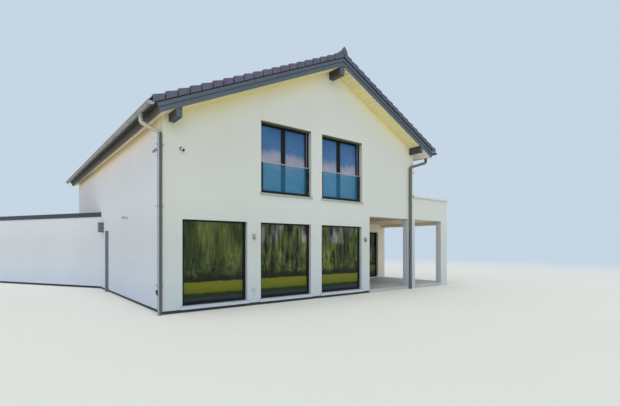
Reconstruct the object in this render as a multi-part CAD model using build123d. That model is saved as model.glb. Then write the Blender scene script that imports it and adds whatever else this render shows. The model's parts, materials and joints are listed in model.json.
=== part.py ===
from build123d import *
import math
import os

# Modern detached house, millimetres. X runs along the gable front, Y into the depth, Z up.
# All sizes are laid out from the front left wall corner at ground level and moved to the
# centre of the footprint when the pieces are written.

# house body
HOUSE_W = 9380
HOUSE_D = 12600
WALL_T = 365
PLINTH_H = 80
PLINTH_INSET = 15
FLOOR_Z = 130
STOREY_Z = 2615
SLAB_T = 200

# roof, whose eave corners are the upper outer corners of the verge boards
RIDGE_X = 5270
RIDGE_Z = 7351
PITCH_TAN = 0.4725
EAVE_LEFT_OUT = 285
EAVE_RIGHT_OUT = 560
DECK_T = 228
VERGE_OUT = 520
VERGE_BACK = 50
UPPER_BOARD_H = 96
BOARD_STEP = 24
BOARD_GROOVE = 10
GROOVE_IN = 12
MITRE_GAP = 2
FASCIA_T = 25

# tiled layer
COURSE = 277.5
TILE_HIGH = 193
TILE_LOW = 155
TILE_NOSE_OUT = 100
TILE_NOSE_LIFT = 100
TILE_VERGE_OUT = 26
VERGE_GAP_H = 45
VERGE_GAP_IN = 60

# ridge
RIDGE_R = 121
RIDGE_SIDES = 7
RIDGE_COLLAR_OUT = 13
RIDGE_COLLAR_L = 50
RIDGE_CAP_L = 420
RIDGE_CAP_LIFT = 118
RIDGE_CAP_FOOT = 60
END_PLATE_T = 12
END_PLATE_HALF = 140
END_PLATE_FOOT = 99
END_PLATE_BOW_X = 95
END_PLATE_BOW_Z = 219
END_PLATE_TIP = 333

# purlins
PURLIN_W = 140
PURLIN_H = 215
PURLIN_OUT = 500
LEFT_PURLIN_IN = 140
RIGHT_PURLIN_IN = 105
RIDGE_PURLIN_W = 180
RIDGE_PURLIN_H = 293
RIDGE_PURLIN_SHIFT = 45
POCKET_ROOM = 60

# gutters
GUTTER_R = 76
GUTTER_WALL = 4
GUTTER_GAP = 48
GUTTER_LIFT = 8
GUTTER_OUT = 12
BEAD_R = 9
FLANGE_DROP = 14
FLANGE_T = 8
FLANGE_BITE = 4

# downpipes
PIPE_R = 50
PIPE_BEND = 90
OUTLET_EXTRA_R = 6
OUTLET_L = 70
OUTLET_SINK = 5
LEFT_OUTLET_Y = 270
LEFT_PIPE_OFF = 70
LEFT_PIPE_FRONT = 10
LEFT_NECK_DROP = 189
LEFT_NECK_FALL = 238
RIGHT_PIPE_OFF = 80
RIGHT_PIPE_IN = 255
RIGHT_NECK_DROP = 228
RIGHT_NECK_FALL = 295
CLAMP_H = 30
CLAMP_R = 57
CLAMP_LUG = 48
CLAMP_LUG_T = 10
CLAMP_LUG_H = 26
STUB_W = 22
LEFT_CLAMPS_Z = (700, 2520, 3950)
RIGHT_CLAMPS_Z = (1400, 3450, 4300)

# ground floor windows
GROUND_X = (1345, 3525, 5705)
WIN_W = 1760
GROUND_SILL_Z = 150
GROUND_HEAD_Z = 2250
GROUND_SET = 100
FRAME_D = 80
FRAME_W = 70
FRAME_HEAD_W = 30
GLASS_T = 28
GLASS_IN = 26

# upper floor windows
UPPER_X = (3535, 5720)
UPPER_SILL_Z = 3076
UPPER_HEAD_Z = 5065
UPPER_SET = 215
UPPER_FRAME_W = 28
UPPER_FRAME_HEAD_W = 10
SASH_W = 55
SASH_OUT = 12
SASH_BACK = 8
MULLION_W = 139
COVER_IN = 6
UPPER_GLASS_IN = 14

# sills
SILL_T = 40
SILL_OUT = 42
SILL_EAR = 40
SILL_DROP = 40
SILL_FALL = 8
SILL_LIP = 14
UPPER_SILL_DROP = 16

# blind guides and balustrades
GUIDE_W = 55
GUIDE_D = 55
GUIDE_GAP = 20
HOLDER_W = 80
HOLDER_D = 30
HOLDER_FOOT = 55
RAIL_Z = 3972
RAIL_H = 26
RAIL_END = 40
RAIL_OUT = 4
RAIL_BACK = 2
PANE_T = 16
PANE_IN = 7

# covered terrace
LOGGIA_X = 6970
TERRACE_D = 3380
TERRACE_FLOOR_Z = 100
COLUMN_IN = 320
COLUMN_W = 430
COLUMN_D = 230
COLUMN_X0 = HOUSE_W - COLUMN_IN
COLUMN_X1 = COLUMN_X0 + COLUMN_W

# flat roofed wing on the right
WING_OUT = 2265
WING_X1 = HOUSE_W + WING_OUT
WING_D = 7400
WING_WALL = 240
WING_TOP_Z = 3450
WING_SLAB_T = 300
COPING_H = 80
COPING_OUT = 30
COPING_IN = 20
WING_COLUMN_W = 425
SCREEN_W = 190
SCREEN_H = 135
SCREEN_IN = 15

# glazed opening behind the terrace
DOOR_LEFT_IN = 380
DOOR_RIGHT_IN = 465
DOOR_X0 = LOGGIA_X + DOOR_LEFT_IN
DOOR_X1 = WING_X1 - DOOR_RIGHT_IN

# low wedge shaped wing on the left
WEDGE_Y0 = 7190
WEDGE_OUT = 3098
WEDGE_TOP_Z = 2870
WEDGE_FASCIA_H = 165
WEDGE_FASCIA_OUT = 30
WEDGE_WALL = 240
WEDGE_ROOF_T = 135
WEDGE_ROOF_SINK = 30

# lights and cameras: place along the wall and height
LIGHTS = ((2425, 1870), (6747, 1825))
LIGHT_BASE = (70, 12, 110)
LIGHT_OUT = 52
LIGHT_R = 36
LIGHT_H = 96
LIGHT_STEM = 24
FRONT_CAMERA = (464, 3903)
SIDE_CAMERA = (420, 3908)
CORNER_CAMERA = (40, 4416)
CAMERA_PLATE_T = 14
CAMERA_PLATE_R = 45
CAMERA_STEM_R = 12
CAMERA_R = 30
CAMERA_L = 96
CAMERA_OUT = 72
CORNER_CAMERA_R = 48
CORNER_CAMERA_OUT = 112
CAMERA_DIP = 10

# louvred box and riser duct on the left side wall
VENT_Y = (6700, 6960)
VENT_Z = (2110, 2460)
VENT_OUT = 150
VENT_SLOTS = 6
VENT_SLOT_H = 26
VENT_SLOT_STEP = 50
VENT_SLOT_IN = 12
VENT_RIM = 14
VENT_FOOT = 40
RISER_Y = (5905, 6005)
RISER_OUT = 90
RISER_TOP_Z = 2105
RISER_EDGE = 12
RISER_CAP_H = 25
RISER_CAP_OUT = 6

SLOPE = math.atan(PITCH_TAN)
SLOPE_COS = math.cos(SLOPE)
SLOPE_SIN = math.sin(SLOPE)

PARTS = {}


def block(x0, x1, y0, y1, z0, z1):
    """A plain box between two corners, given in any order."""
    size = (abs(x1 - x0), abs(y1 - y0), abs(z1 - z0))
    centre = Pos((x0 + x1) / 2, (y0 + y1) / 2, (z0 + z1) / 2)
    return centre * Box(*size)


def side_profile(points, y0, y1):
    """A closed X-Z outline carried along Y."""
    outline = Polyline(*[(x, y0, z) for x, z in points], close=True)
    return extrude(make_face(outline), amount=y1 - y0, dir=(0, 1, 0))


def cross_profile(points, x0, x1):
    """A closed Y-Z outline carried along X."""
    outline = Polyline(*[(x0, y, z) for y, z in points], close=True)
    return extrude(make_face(outline), amount=x1 - x0, dir=(1, 0, 0))


def plan_profile(points, z0, z1):
    """A closed X-Y outline carried up."""
    outline = Polyline(*[(x, y, z0) for x, y in points], close=True)
    return extrude(make_face(outline), amount=z1 - z0, dir=(0, 0, 1))


def top_line(x):
    """Height of the top of the verge boards over x."""
    return RIDGE_Z - abs(x - RIDGE_X) * PITCH_TAN


def under_line(x):
    """Height of the boarded underside of the roof over x."""
    return top_line(x) - DECK_T


def group(shapes):
    """Pieces of one kind that share a node."""
    return Compound([solid for shape in shapes for solid in shape.solids()])


def front_and_back(make):
    """The same piece at the front gable and mirrored at the back gable."""
    front = make()
    middle = Plane((0, HOUSE_D / 2, 0), x_dir=(1, 0, 0), z_dir=(0, 1, 0))
    return front, mirror(front, about=middle)


def purlin_boxes():
    """The three purlins that carry the roof, with tops cut to the slope."""
    left = LEFT_PURLIN_IN
    right = HOUSE_W - RIGHT_PURLIN_IN - PURLIN_W
    y0 = -PURLIN_OUT
    y1 = HOUSE_D + PURLIN_OUT
    made = []
    for x0 in (left, right):
        x1 = x0 + PURLIN_W
        low = under_line((x0 + x1) / 2) - PURLIN_H
        points = [(x0, low), (x1, low), (x1, under_line(x1)), (x0, under_line(x0))]
        made.append(side_profile(points, y0, y1))
    x0 = RIDGE_X - RIDGE_PURLIN_SHIFT - RIDGE_PURLIN_W / 2
    x1 = x0 + RIDGE_PURLIN_W
    low = under_line(RIDGE_X) - RIDGE_PURLIN_H
    peak = (RIDGE_X, under_line(RIDGE_X))
    points = [(x0, low), (x1, low), (x1, under_line(x1)), peak, (x0, under_line(x0))]
    made.append(side_profile(points, y0, y1))
    return made


def purlin_pockets(purlins):
    """The purlins with room above them, for cutting the wall heads."""
    return [purlin + Pos(0, 0, POCKET_ROOM) * purlin for purlin in purlins]


def gable_outline(z0, x0=0, x1=HOUSE_W):
    """Gable wall outline from z0 up to the underside of the roof."""
    peak = (RIDGE_X, under_line(RIDGE_X))
    return [(x0, z0), (x1, z0), (x1, under_line(x1)), peak, (x0, under_line(x0))]


def window_hole(centre, width, z0, z1, y0, y1):
    return block(centre - width / 2, centre + width / 2, y0, y1, z0, z1)


def plinth():
    """Foundation slab under all walls, a little inside their faces."""
    e = PLINTH_INSET
    house = [(e, e), (LOGGIA_X - e, e), (LOGGIA_X - e, TERRACE_D + e)]
    house += [(WING_X1 - e, TERRACE_D + e), (WING_X1 - e, WING_D - e)]
    house += [(HOUSE_W - e, WING_D - e), (HOUSE_W - e, HOUSE_D - e)]
    house += [(3 * e - WEDGE_OUT, HOUSE_D - e), (e, WEDGE_Y0 + 3 * e)]
    return plan_profile(house, 0, PLINTH_H)


def ground_floor():
    """Ground storey floor inside the walls."""
    t = WALL_T
    points = [(t, t), (LOGGIA_X - t, t), (LOGGIA_X - t, TERRACE_D + t)]
    points += [(HOUSE_W - t, TERRACE_D + t), (HOUSE_W - t, HOUSE_D - t), (t, HOUSE_D - t)]
    return plan_profile(points, PLINTH_H, FLOOR_Z)


def ground_hole(centre, y0):
    low = GROUND_SILL_Z - SILL_T
    return window_hole(centre, WIN_W, low, GROUND_HEAD_Z, y0, y0 + WALL_T)


def upper_hole(centre, y0):
    low = UPPER_SILL_Z - SILL_T
    return window_hole(centre, WIN_W, low, UPPER_HEAD_Z, y0, y0 + WALL_T)


def front_wall():
    """Ground storey front with its three window openings."""
    wall = block(0, LOGGIA_X, 0, WALL_T, PLINTH_H, STOREY_Z)
    for centre in GROUND_X:
        wall -= ground_hole(centre, 0)
    return wall


def gable_wall(pockets):
    """Upper front wall and gable over the full width."""
    wall = side_profile(gable_outline(STOREY_Z), 0, WALL_T)
    for centre in UPPER_X:
        wall -= upper_hole(centre, 0)
    for pocket in pockets:
        wall -= pocket
    return wall


def back_wall(pockets):
    """Back wall and gable with windows in the places of the front ones."""
    y0 = HOUSE_D - WALL_T
    wall = side_profile(gable_outline(PLINTH_H), y0, HOUSE_D)
    for centre in GROUND_X:
        wall -= ground_hole(centre, y0)
    for centre in UPPER_X:
        wall -= upper_hole(centre, y0)
    for pocket in pockets:
        wall -= pocket
    return wall


def side_outline(x0, x1):
    return [(x0, STOREY_Z), (x1, STOREY_Z), (x1, under_line(x1)), (x0, under_line(x0))]


def left_wall(pockets):
    y0 = WALL_T
    y1 = HOUSE_D - WALL_T
    points = side_outline(0, WALL_T)
    points[0] = (0, PLINTH_H)
    points[1] = (WALL_T, PLINTH_H)
    return side_profile(points, y0, y1) - pockets[0]


def right_wall(pockets):
    """Right side wall, carried over the covered terrace in its upper part."""
    x0 = HOUSE_W - WALL_T
    y1 = HOUSE_D - WALL_T
    upper = side_profile(side_outline(x0, HOUSE_W), WALL_T, y1)
    lower = block(x0, HOUSE_W, TERRACE_D + WALL_T, y1, PLINTH_H, STOREY_Z)
    return upper + lower - pockets[1]


def upper_floor():
    """Slab between the storeys; its underside is the terrace ceiling."""
    t = WALL_T
    return block(t, HOUSE_W - t, t, HOUSE_D - t, STOREY_Z, STOREY_Z + SLAB_T)


def terrace_side_wall():
    x0 = LOGGIA_X - WALL_T
    return block(x0, LOGGIA_X, WALL_T, TERRACE_D, PLINTH_H, STOREY_Z)


def terrace_back_wall():
    """Wall behind the covered terrace with one wide glazed opening."""
    x0 = LOGGIA_X - WALL_T
    y1 = TERRACE_D + WALL_T
    wall = block(x0, WING_X1, TERRACE_D, y1, PLINTH_H, STOREY_Z)
    wall -= block(DOOR_X0, DOOR_X1, TERRACE_D, y1, TERRACE_FLOOR_Z + SILL_T, GROUND_HEAD_Z)
    return wall


def terrace_floor():
    """Floor under the covered terrace."""
    points = [(LOGGIA_X, 0), (WING_X1, 0), (WING_X1, TERRACE_D), (LOGGIA_X, TERRACE_D)]
    slab = plan_profile(points, 0, TERRACE_FLOOR_Z)
    slab -= block(COLUMN_X0, COLUMN_X1, 0, COLUMN_D, 0, TERRACE_FLOOR_Z)
    slab -= block(WING_X1 - WING_COLUMN_W, WING_X1, 0, WING_WALL, 0, TERRACE_FLOOR_Z)
    return slab


def corner_column():
    return block(COLUMN_X0, COLUMN_X1, 0, COLUMN_D, 0, STOREY_Z)


def wing_column():
    return block(WING_X1 - WING_COLUMN_W, WING_X1, 0, WING_WALL, 0, STOREY_Z)


def wing_side_wall():
    y0 = TERRACE_D + WALL_T
    return block(WING_X1 - WALL_T, WING_X1, y0, WING_D, PLINTH_H, STOREY_Z)


def wing_rear_wall():
    y0 = WING_D - WALL_T
    return block(HOUSE_W, WING_X1 - WALL_T, y0, WING_D, PLINTH_H, STOREY_Z)


def wing_parapet():
    """Header beam and parapet round the three free sides of the wing."""
    t = WING_WALL
    outer = block(HOUSE_W, WING_X1, 0, WING_D, STOREY_Z, WING_TOP_Z)
    return outer - block(HOUSE_W, WING_X1 - t, t, WING_D - t, STOREY_Z, WING_TOP_Z)


def wing_roof():
    t = WING_WALL
    z1 = STOREY_Z + WING_SLAB_T
    return block(HOUSE_W, WING_X1 - t, t, WING_D - t, STOREY_Z, z1)


def wing_coping():
    """Metal coping with a small fall to the inside."""
    o = COPING_OUT
    i = WING_WALL + COPING_IN
    z1 = WING_TOP_Z + COPING_H
    outer = block(HOUSE_W, WING_X1 + o, -o, WING_D + o, WING_TOP_Z, z1)
    inner = block(HOUSE_W, WING_X1 - i, i, WING_D - i, WING_TOP_Z, z1)
    return outer - inner


def screen_box():
    """Screen housing under the side header of the covered terrace."""
    x1 = WING_X1 - SCREEN_IN
    z0 = STOREY_Z - SCREEN_H
    return block(x1 - SCREEN_W, x1, WING_WALL, TERRACE_D, z0, STOREY_Z)


def eave_corner(side):
    """Upper outer corner of the roof edge, left for side -1 and right for side 1."""
    return -EAVE_LEFT_OUT if side < 0 else HOUSE_W + EAVE_RIGHT_OUT


def cut_point(side, depth, inset=0):
    """Point on the square cut eave edge, a depth below the top line and inset up the slope."""
    corner = eave_corner(side)
    x = corner - side * (depth * SLOPE_COS * SLOPE_SIN + inset * SLOPE_COS)
    z = top_line(corner) - depth * SLOPE_COS ** 2 + inset * SLOPE_SIN
    return x, z


def deck(side):
    """Rafters and boarding of one slope as one panel, cut square at the eave."""
    points = [cut_point(side, DECK_T, FASCIA_T), (RIDGE_X, under_line(RIDGE_X))]
    points += [(RIDGE_X, top_line(RIDGE_X)), cut_point(side, 0, FASCIA_T)]
    reach = VERGE_OUT - VERGE_BACK
    return side_profile(points, -reach, HOUSE_D + reach)


def course_steps(side):
    """Outline of the tile courses from the eave nose up to the ridge."""
    nose = eave_corner(side) + side * TILE_NOSE_OUT
    run = abs(RIDGE_X - nose)
    points = []
    for i in range(math.ceil(run / COURSE)):
        low = i * COURSE
        high = min(low + COURSE, run)
        thinner = (TILE_HIGH - TILE_LOW) * (high - low) / COURSE
        a = nose - side * low
        b = nose - side * high
        points.append((a, top_line(a) + TILE_HIGH))
        points.append((b, top_line(b) + TILE_HIGH - thinner))
    return points


def tiles(side):
    """Tiled layer of one slope, stepped at each course, with a shadow gap under the verges."""
    corner = eave_corner(side)
    nose = corner + side * TILE_NOSE_OUT
    points = [(RIDGE_X, top_line(RIDGE_X)), (corner, top_line(corner))]
    points.append((nose, top_line(nose) + TILE_NOSE_LIFT))
    reach = VERGE_OUT + TILE_VERGE_OUT
    layer = side_profile(points + course_steps(side), -reach, HOUSE_D + reach)
    low = [(RIDGE_X, top_line(RIDGE_X)), (nose, top_line(nose))]
    high = [(nose, top_line(nose) + VERGE_GAP_H), (RIDGE_X, top_line(RIDGE_X) + VERGE_GAP_H)]
    gap = side_profile(low + high, -reach, -reach + VERGE_GAP_IN)
    back_gap = Pos(0, HOUSE_D + 2 * reach - VERGE_GAP_IN, 0) * gap
    return layer - gap - back_gap


def ridge_end_plate(y):
    """Pointed plate that closes the row of ridge tiles."""
    foot = RIDGE_Z + END_PLATE_FOOT
    bow = RIDGE_Z + END_PLATE_BOW_Z
    left = (RIDGE_X - END_PLATE_HALF, y, foot)
    right = (RIDGE_X + END_PLATE_HALF, y, foot)
    tip = (RIDGE_X, y, RIDGE_Z + END_PLATE_TIP)
    base = Line(left, right)
    right_side = ThreePointArc(right, (RIDGE_X + END_PLATE_BOW_X, y, bow), tip)
    left_side = ThreePointArc(tip, (RIDGE_X - END_PLATE_BOW_X, y, bow), left)
    return extrude(make_face([base, right_side, left_side]), amount=END_PLATE_T, dir=(0, 1, 0))


def ridge_outline(radius):
    """Half round section of a ridge tile in flat facets, down to its feet."""
    z = RIDGE_Z + RIDGE_CAP_LIFT
    foot = z - RIDGE_CAP_FOOT
    points = [(RIDGE_X + radius, foot)]
    for i in range(RIDGE_SIDES + 1):
        angle = math.pi * i / RIDGE_SIDES
        points.append((RIDGE_X + radius * math.cos(angle), z + radius * math.sin(angle)))
    points.append((RIDGE_X - radius, foot))
    return points


def ridge_caps(left, right):
    """Row of collared ridge tiles that lie on both slopes, closed by a plate at each end."""
    y0 = -(VERGE_OUT + TILE_VERGE_OUT)
    y1 = HOUSE_D - y0
    count = math.ceil((y1 - y0) / RIDGE_CAP_L)
    length = (y1 - y0) / count
    line = side_profile(ridge_outline(RIDGE_R), y0, y1)
    for i in range(count):
        start = y0 + i * length
        collar = ridge_outline(RIDGE_R + RIDGE_COLLAR_OUT)
        line += side_profile(collar, start, start + RIDGE_COLLAR_L)
    line -= left
    line -= right
    return line + ridge_end_plate(y0 - END_PLATE_T) + ridge_end_plate(y1)


def verge_board(side):
    """Two stepped boards with a groove between them along one slope of a gable."""
    face = -VERGE_OUT
    back = face + VERGE_BACK
    ridge_end = RIDGE_X + side * MITRE_GAP / 2
    z_end = top_line(ridge_end)

    def strip(high, low, y_from):
        points = [cut_point(side, high), (ridge_end, z_end - high)]
        points += [(ridge_end, z_end - low), cut_point(side, low)]
        return side_profile(points, y_from, back)

    groove_low = UPPER_BOARD_H + BOARD_GROOVE
    upper = strip(0, UPPER_BOARD_H, face)
    groove = strip(UPPER_BOARD_H, groove_low, face + BOARD_STEP + GROOVE_IN)
    lower = strip(groove_low, DECK_T, face + BOARD_STEP)
    return upper + groove + lower


def eave_fascia(side):
    """Board that closes the square cut edge of one slope."""
    points = [cut_point(side, 0), cut_point(side, DECK_T)]
    points += [cut_point(side, DECK_T, FASCIA_T), cut_point(side, 0, FASCIA_T)]
    reach = VERGE_OUT - VERGE_BACK
    return side_profile(points, -reach, HOUSE_D + reach)


def gutter_axis(side):
    """Centre line of a gutter in front of the fascia."""
    corner = eave_corner(side)
    return corner + side * (GUTTER_GAP + GUTTER_R), top_line(corner) + GUTTER_LIFT


def gutter(side):
    """Half round gutter with rolled front bead, stop ends and a flange to the roof edge."""
    x, z = gutter_axis(side)
    y0 = -(VERGE_OUT + GUTTER_OUT)
    y1 = HOUSE_D - y0
    length = y1 - y0
    middle = (y0 + y1) / 2
    turn = Rot(90, 0, 0)
    outer = Pos(x, middle, z) * turn * Cylinder(GUTTER_R, length)
    inner = Pos(x, middle, z) * turn * Cylinder(GUTTER_R - GUTTER_WALL, length - 2 * GUTTER_WALL)
    room = 2 * GUTTER_R
    upper = block(x - room, x + room, y0, y1, z, z + room)
    shell = outer - inner - upper
    bead_x = x + side * (GUTTER_R + BEAD_R - GUTTER_WALL)
    bead = Pos(bead_x, middle, z - BEAD_R / 2) * turn * Cylinder(BEAD_R, length)
    bite = x - side * (GUTTER_R - FLANGE_BITE)
    low = z - FLANGE_DROP - FLANGE_T
    points = [cut_point(side, FLANGE_T / 2), cut_point(side, FLANGE_T * 2)]
    points += [(bite, low), (bite, z - FLANGE_DROP)]
    reach = VERGE_OUT - VERGE_BACK
    return shell + bead + side_profile(points, -reach, HOUSE_D + reach)


def round_pipe(points, radius, bend):
    """A pipe along a path with rounded bends."""
    path = FilletPolyline(*points, radius=bend)
    start = path @ 0
    heading = path % 0
    ring = Plane(origin=start, z_dir=heading) * Circle(radius)
    return sweep(ring, path=path)


def clamp(x, y, z, stub):
    """Pipe clamp with its two screw lugs and the stub into the wall."""
    ring = Pos(x, y, z) * Cylinder(CLAMP_R, CLAMP_H)
    reach = CLAMP_R + CLAMP_LUG
    half = CLAMP_LUG_H / 2
    lugs = block(x - reach, x + reach, y - CLAMP_LUG_T, y, z - half, z + half)
    return ring + lugs + stub


def pipe_run(points, gutter_x, gutter_z):
    """Outlet, swan neck and downpipe under a gutter, shaped to the gutter's underside."""
    x, y, top = points[0]
    pipe = round_pipe(points, PIPE_R, PIPE_BEND)
    sleeve_z = top + OUTLET_SINK - OUTLET_L / 2
    outlet = Pos(x, y, sleeve_z) * Cylinder(PIPE_R + OUTLET_EXTRA_R, OUTLET_L)
    trough = Pos(gutter_x, y, gutter_z) * Rot(90, 0, 0) * Cylinder(GUTTER_R, 4 * GUTTER_R)
    return pipe + outlet - trough


def left_downpipe():
    """Swan neck from the gutter round the corner and down beside the side wall."""
    gx, gz = gutter_axis(-1)
    x = -LEFT_PIPE_OFF
    y = -LEFT_PIPE_FRONT
    top = gz - GUTTER_R
    neck = top - LEFT_NECK_DROP
    points = [(gx, LEFT_OUTLET_Y, top), (gx, LEFT_OUTLET_Y, neck)]
    points += [(x, y, neck - LEFT_NECK_FALL), (x, y, 0)]
    made = pipe_run(points, gx, gz)
    half = STUB_W / 2
    for z in LEFT_CLAMPS_Z:
        stub = block(x, 0, half / 2, half / 2 + STUB_W, z - half, z + half)
        made += clamp(x, y, z, stub)
    return made


def right_downpipe():
    """Pipe from the right gutter across the front corner and down to the ground."""
    gx, gz = gutter_axis(1)
    x = HOUSE_W - RIGHT_PIPE_IN
    y = -RIGHT_PIPE_OFF
    top = gz - GUTTER_R
    neck = top - RIGHT_NECK_DROP
    points = [(gx, y, top), (gx, y, neck), (x, y, neck - RIGHT_NECK_FALL), (x, y, 0)]
    made = pipe_run(points, gx, gz)
    half = STUB_W / 2
    for z in RIGHT_CLAMPS_Z:
        stub = block(x - half, x + half, y, 0, z - half, z + half)
        made += clamp(x, y, z, stub)
    return made


def frame_ring(x0, x1, z0, z1, y0, y1, side_w, head_w):
    """Rectangular frame with one width for sides and foot and another for the head."""
    ring = block(x0, x1, y0, y1, z0, z1)
    return ring - block(x0 + side_w, x1 - side_w, y0, y1, z0 + side_w, z1 - head_w)


def ground_frame(centre):
    x0 = centre - WIN_W / 2
    x1 = centre + WIN_W / 2
    y0 = GROUND_SET
    y1 = y0 + FRAME_D
    return frame_ring(x0, x1, GROUND_SILL_Z, GROUND_HEAD_Z, y0, y1, FRAME_W, FRAME_HEAD_W)


def ground_glass(centre):
    x0 = centre - WIN_W / 2 + FRAME_W
    x1 = centre + WIN_W / 2 - FRAME_W
    y0 = GROUND_SET + GLASS_IN
    z1 = GROUND_HEAD_Z - FRAME_HEAD_W
    return block(x0, x1, y0, y0 + GLASS_T, GROUND_SILL_Z + FRAME_W, z1)


def sash_spans(centre):
    """Left and right edges of the two leaves of a French window."""
    inner = WIN_W / 2 - UPPER_FRAME_W
    gap = MULLION_W / 2 - SASH_W
    return ((centre - inner, centre - gap), (centre + gap, centre + inner))


def upper_frame(centre):
    """Outer frame, two leaves and the middle cover strip in one piece."""
    x0 = centre - WIN_W / 2
    x1 = centre + WIN_W / 2
    y0 = UPPER_SET
    y1 = y0 + FRAME_D
    z0 = UPPER_SILL_Z + UPPER_FRAME_W
    z1 = UPPER_HEAD_Z - UPPER_FRAME_HEAD_W
    made = frame_ring(x0, x1, UPPER_SILL_Z, UPPER_HEAD_Z, y0, y1, UPPER_FRAME_W,
                      UPPER_FRAME_HEAD_W)
    for a, b in sash_spans(centre):
        made += frame_ring(a, b, z0, z1, y0 - SASH_OUT, y1 - SASH_BACK, SASH_W, SASH_W)
    gap = MULLION_W / 2 - SASH_W
    cover_y = y0 - SASH_OUT + COVER_IN
    made += block(centre - gap, centre + gap, cover_y, y1 - SASH_BACK, z0, z1)
    return made


def upper_glass(centre):
    made = []
    z0 = UPPER_SILL_Z + UPPER_FRAME_W + SASH_W
    z1 = UPPER_HEAD_Z - UPPER_FRAME_HEAD_W - SASH_W
    y0 = UPPER_SET + UPPER_GLASS_IN
    for a, b in sash_spans(centre):
        made.append(block(a + SASH_W, b - SASH_W, y0, y0 + GLASS_T, z0, z1))
    return made


def sill(centre, z):
    """Sill through the wall with a projecting nose wider than the opening."""
    x0 = centre - WIN_W / 2
    x1 = centre + WIN_W / 2
    low = z - SILL_T
    drip = low - SILL_DROP
    inside = block(x0, x1, 0, WALL_T, low, z)
    nose = [(0, drip), (0, z), (-SILL_OUT, z - SILL_FALL), (-SILL_OUT, drip)]
    nose += [(-SILL_OUT + SILL_LIP, drip), (-SILL_OUT + SILL_LIP, low)]
    nose += [(-SILL_LIP, low), (-SILL_LIP, drip)]
    return inside + cross_profile(nose, x0 - SILL_EAR, x1 + SILL_EAR)


def upper_sill(centre, z):
    x0 = centre - WIN_W / 2
    x1 = centre + WIN_W / 2
    low = z - SILL_T
    drip = low - UPPER_SILL_DROP
    inside = block(x0, x1, 0, WALL_T, low, z)
    nose = [(0, drip), (0, z), (-SILL_OUT, z - SILL_FALL), (-SILL_OUT, drip)]
    return inside + cross_profile(nose, x0 - SILL_EAR, x1 + SILL_EAR)


def guide_face():
    """Front of the blind guides, measured in from the wall face."""
    return UPPER_SET - SASH_OUT - GUIDE_GAP - GUIDE_D


def blind_guides(centre):
    """Blind guides at both jambs with the dark holders of the guard pane on their front."""
    x0 = centre - WIN_W / 2
    x1 = centre + WIN_W / 2
    z0 = UPPER_SILL_Z
    y = guide_face()
    made = block(x0, x1, y - HOLDER_D, y, z0, z0 + HOLDER_FOOT)
    for outer, way in ((x0, 1), (x1, -1)):
        made += block(outer, outer + way * GUIDE_W, y, y + GUIDE_D, z0, UPPER_HEAD_Z)
        made += block(outer, outer + way * HOLDER_W, y - HOLDER_D, y, z0, RAIL_Z - RAIL_H)
    return made


def balustrade_rail(centre):
    """Top rail that lies on the guard pane and its holders."""
    x0 = centre - WIN_W / 2 + RAIL_END
    x1 = centre + WIN_W / 2 - RAIL_END
    y = guide_face()
    return block(x0, x1, y - HOLDER_D - RAIL_OUT, y - RAIL_BACK, RAIL_Z - RAIL_H, RAIL_Z)


def balustrade_pane(centre):
    x0 = centre - WIN_W / 2 + HOLDER_W
    x1 = centre + WIN_W / 2 - HOLDER_W
    y = guide_face() - HOLDER_D + PANE_IN
    return block(x0, x1, y, y + PANE_T, UPPER_SILL_Z + HOLDER_FOOT, RAIL_Z - RAIL_H)


def terrace_door_frame():
    """Wide two part glazed door in the wall behind the terrace."""
    y0 = TERRACE_D + GROUND_SET
    z0 = TERRACE_FLOOR_Z + SILL_T
    y1 = y0 + FRAME_D
    made = frame_ring(DOOR_X0, DOOR_X1, z0, GROUND_HEAD_Z, y0, y1, FRAME_W, FRAME_W)
    middle = (DOOR_X0 + DOOR_X1) / 2
    half = FRAME_W / 2
    return made + block(middle - half, middle + half, y0, y1, z0, GROUND_HEAD_Z)


def terrace_door_glass():
    y0 = TERRACE_D + GROUND_SET + GLASS_IN
    z0 = TERRACE_FLOOR_Z + SILL_T + FRAME_W
    z1 = GROUND_HEAD_Z - FRAME_W
    middle = (DOOR_X0 + DOOR_X1) / 2
    half = FRAME_W / 2
    left = block(DOOR_X0 + FRAME_W, middle - half, y0, y0 + GLASS_T, z0, z1)
    right = block(middle + half, DOOR_X1 - FRAME_W, y0, y0 + GLASS_T, z0, z1)
    return [left, right]


def wedge_points(out=0):
    """Plan of the low wing: house wall, oblique front, back face."""
    length = math.hypot(WEDGE_OUT, HOUSE_D - WEDGE_Y0)
    dx = -WEDGE_OUT / length
    dy = (HOUSE_D - WEDGE_Y0) / length
    along = out / abs(dx)
    y_start = WEDGE_Y0 - along
    y_back = HOUSE_D + out
    x_back = (y_back - y_start) * dx / dy
    return [(0, y_start), (x_back, y_back), (0, y_back)]


def wedge_walls():
    z1 = WEDGE_TOP_Z - WEDGE_FASCIA_H
    outer = plan_profile(wedge_points(), PLINTH_H, z1)
    return outer - plan_profile(wedge_points(-WEDGE_WALL), PLINTH_H, z1)


def wedge_roof():
    z1 = WEDGE_TOP_Z - WEDGE_ROOF_SINK
    return plan_profile(wedge_points(), z1 - WEDGE_ROOF_T, z1)


def wedge_fascia():
    z0 = WEDGE_TOP_Z - WEDGE_FASCIA_H
    outer = plan_profile(wedge_points(WEDGE_FASCIA_OUT), z0, WEDGE_TOP_Z)
    inner = plan_profile(wedge_points(), z0, WEDGE_TOP_Z)
    return outer - inner


def wall_light(x, z):
    """Small up and down light on the front wall."""
    wide, thick, tall = LIGHT_BASE
    stem = LIGHT_STEM / 2
    base = block(x - wide / 2, x + wide / 2, -thick, 0, z - tall / 2, z + tall / 2)
    body = Pos(x, -LIGHT_OUT, z) * Cylinder(LIGHT_R, LIGHT_H)
    return base + body + block(x - stem, x + stem, -LIGHT_OUT, 0, z - stem, z + stem)


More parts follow.
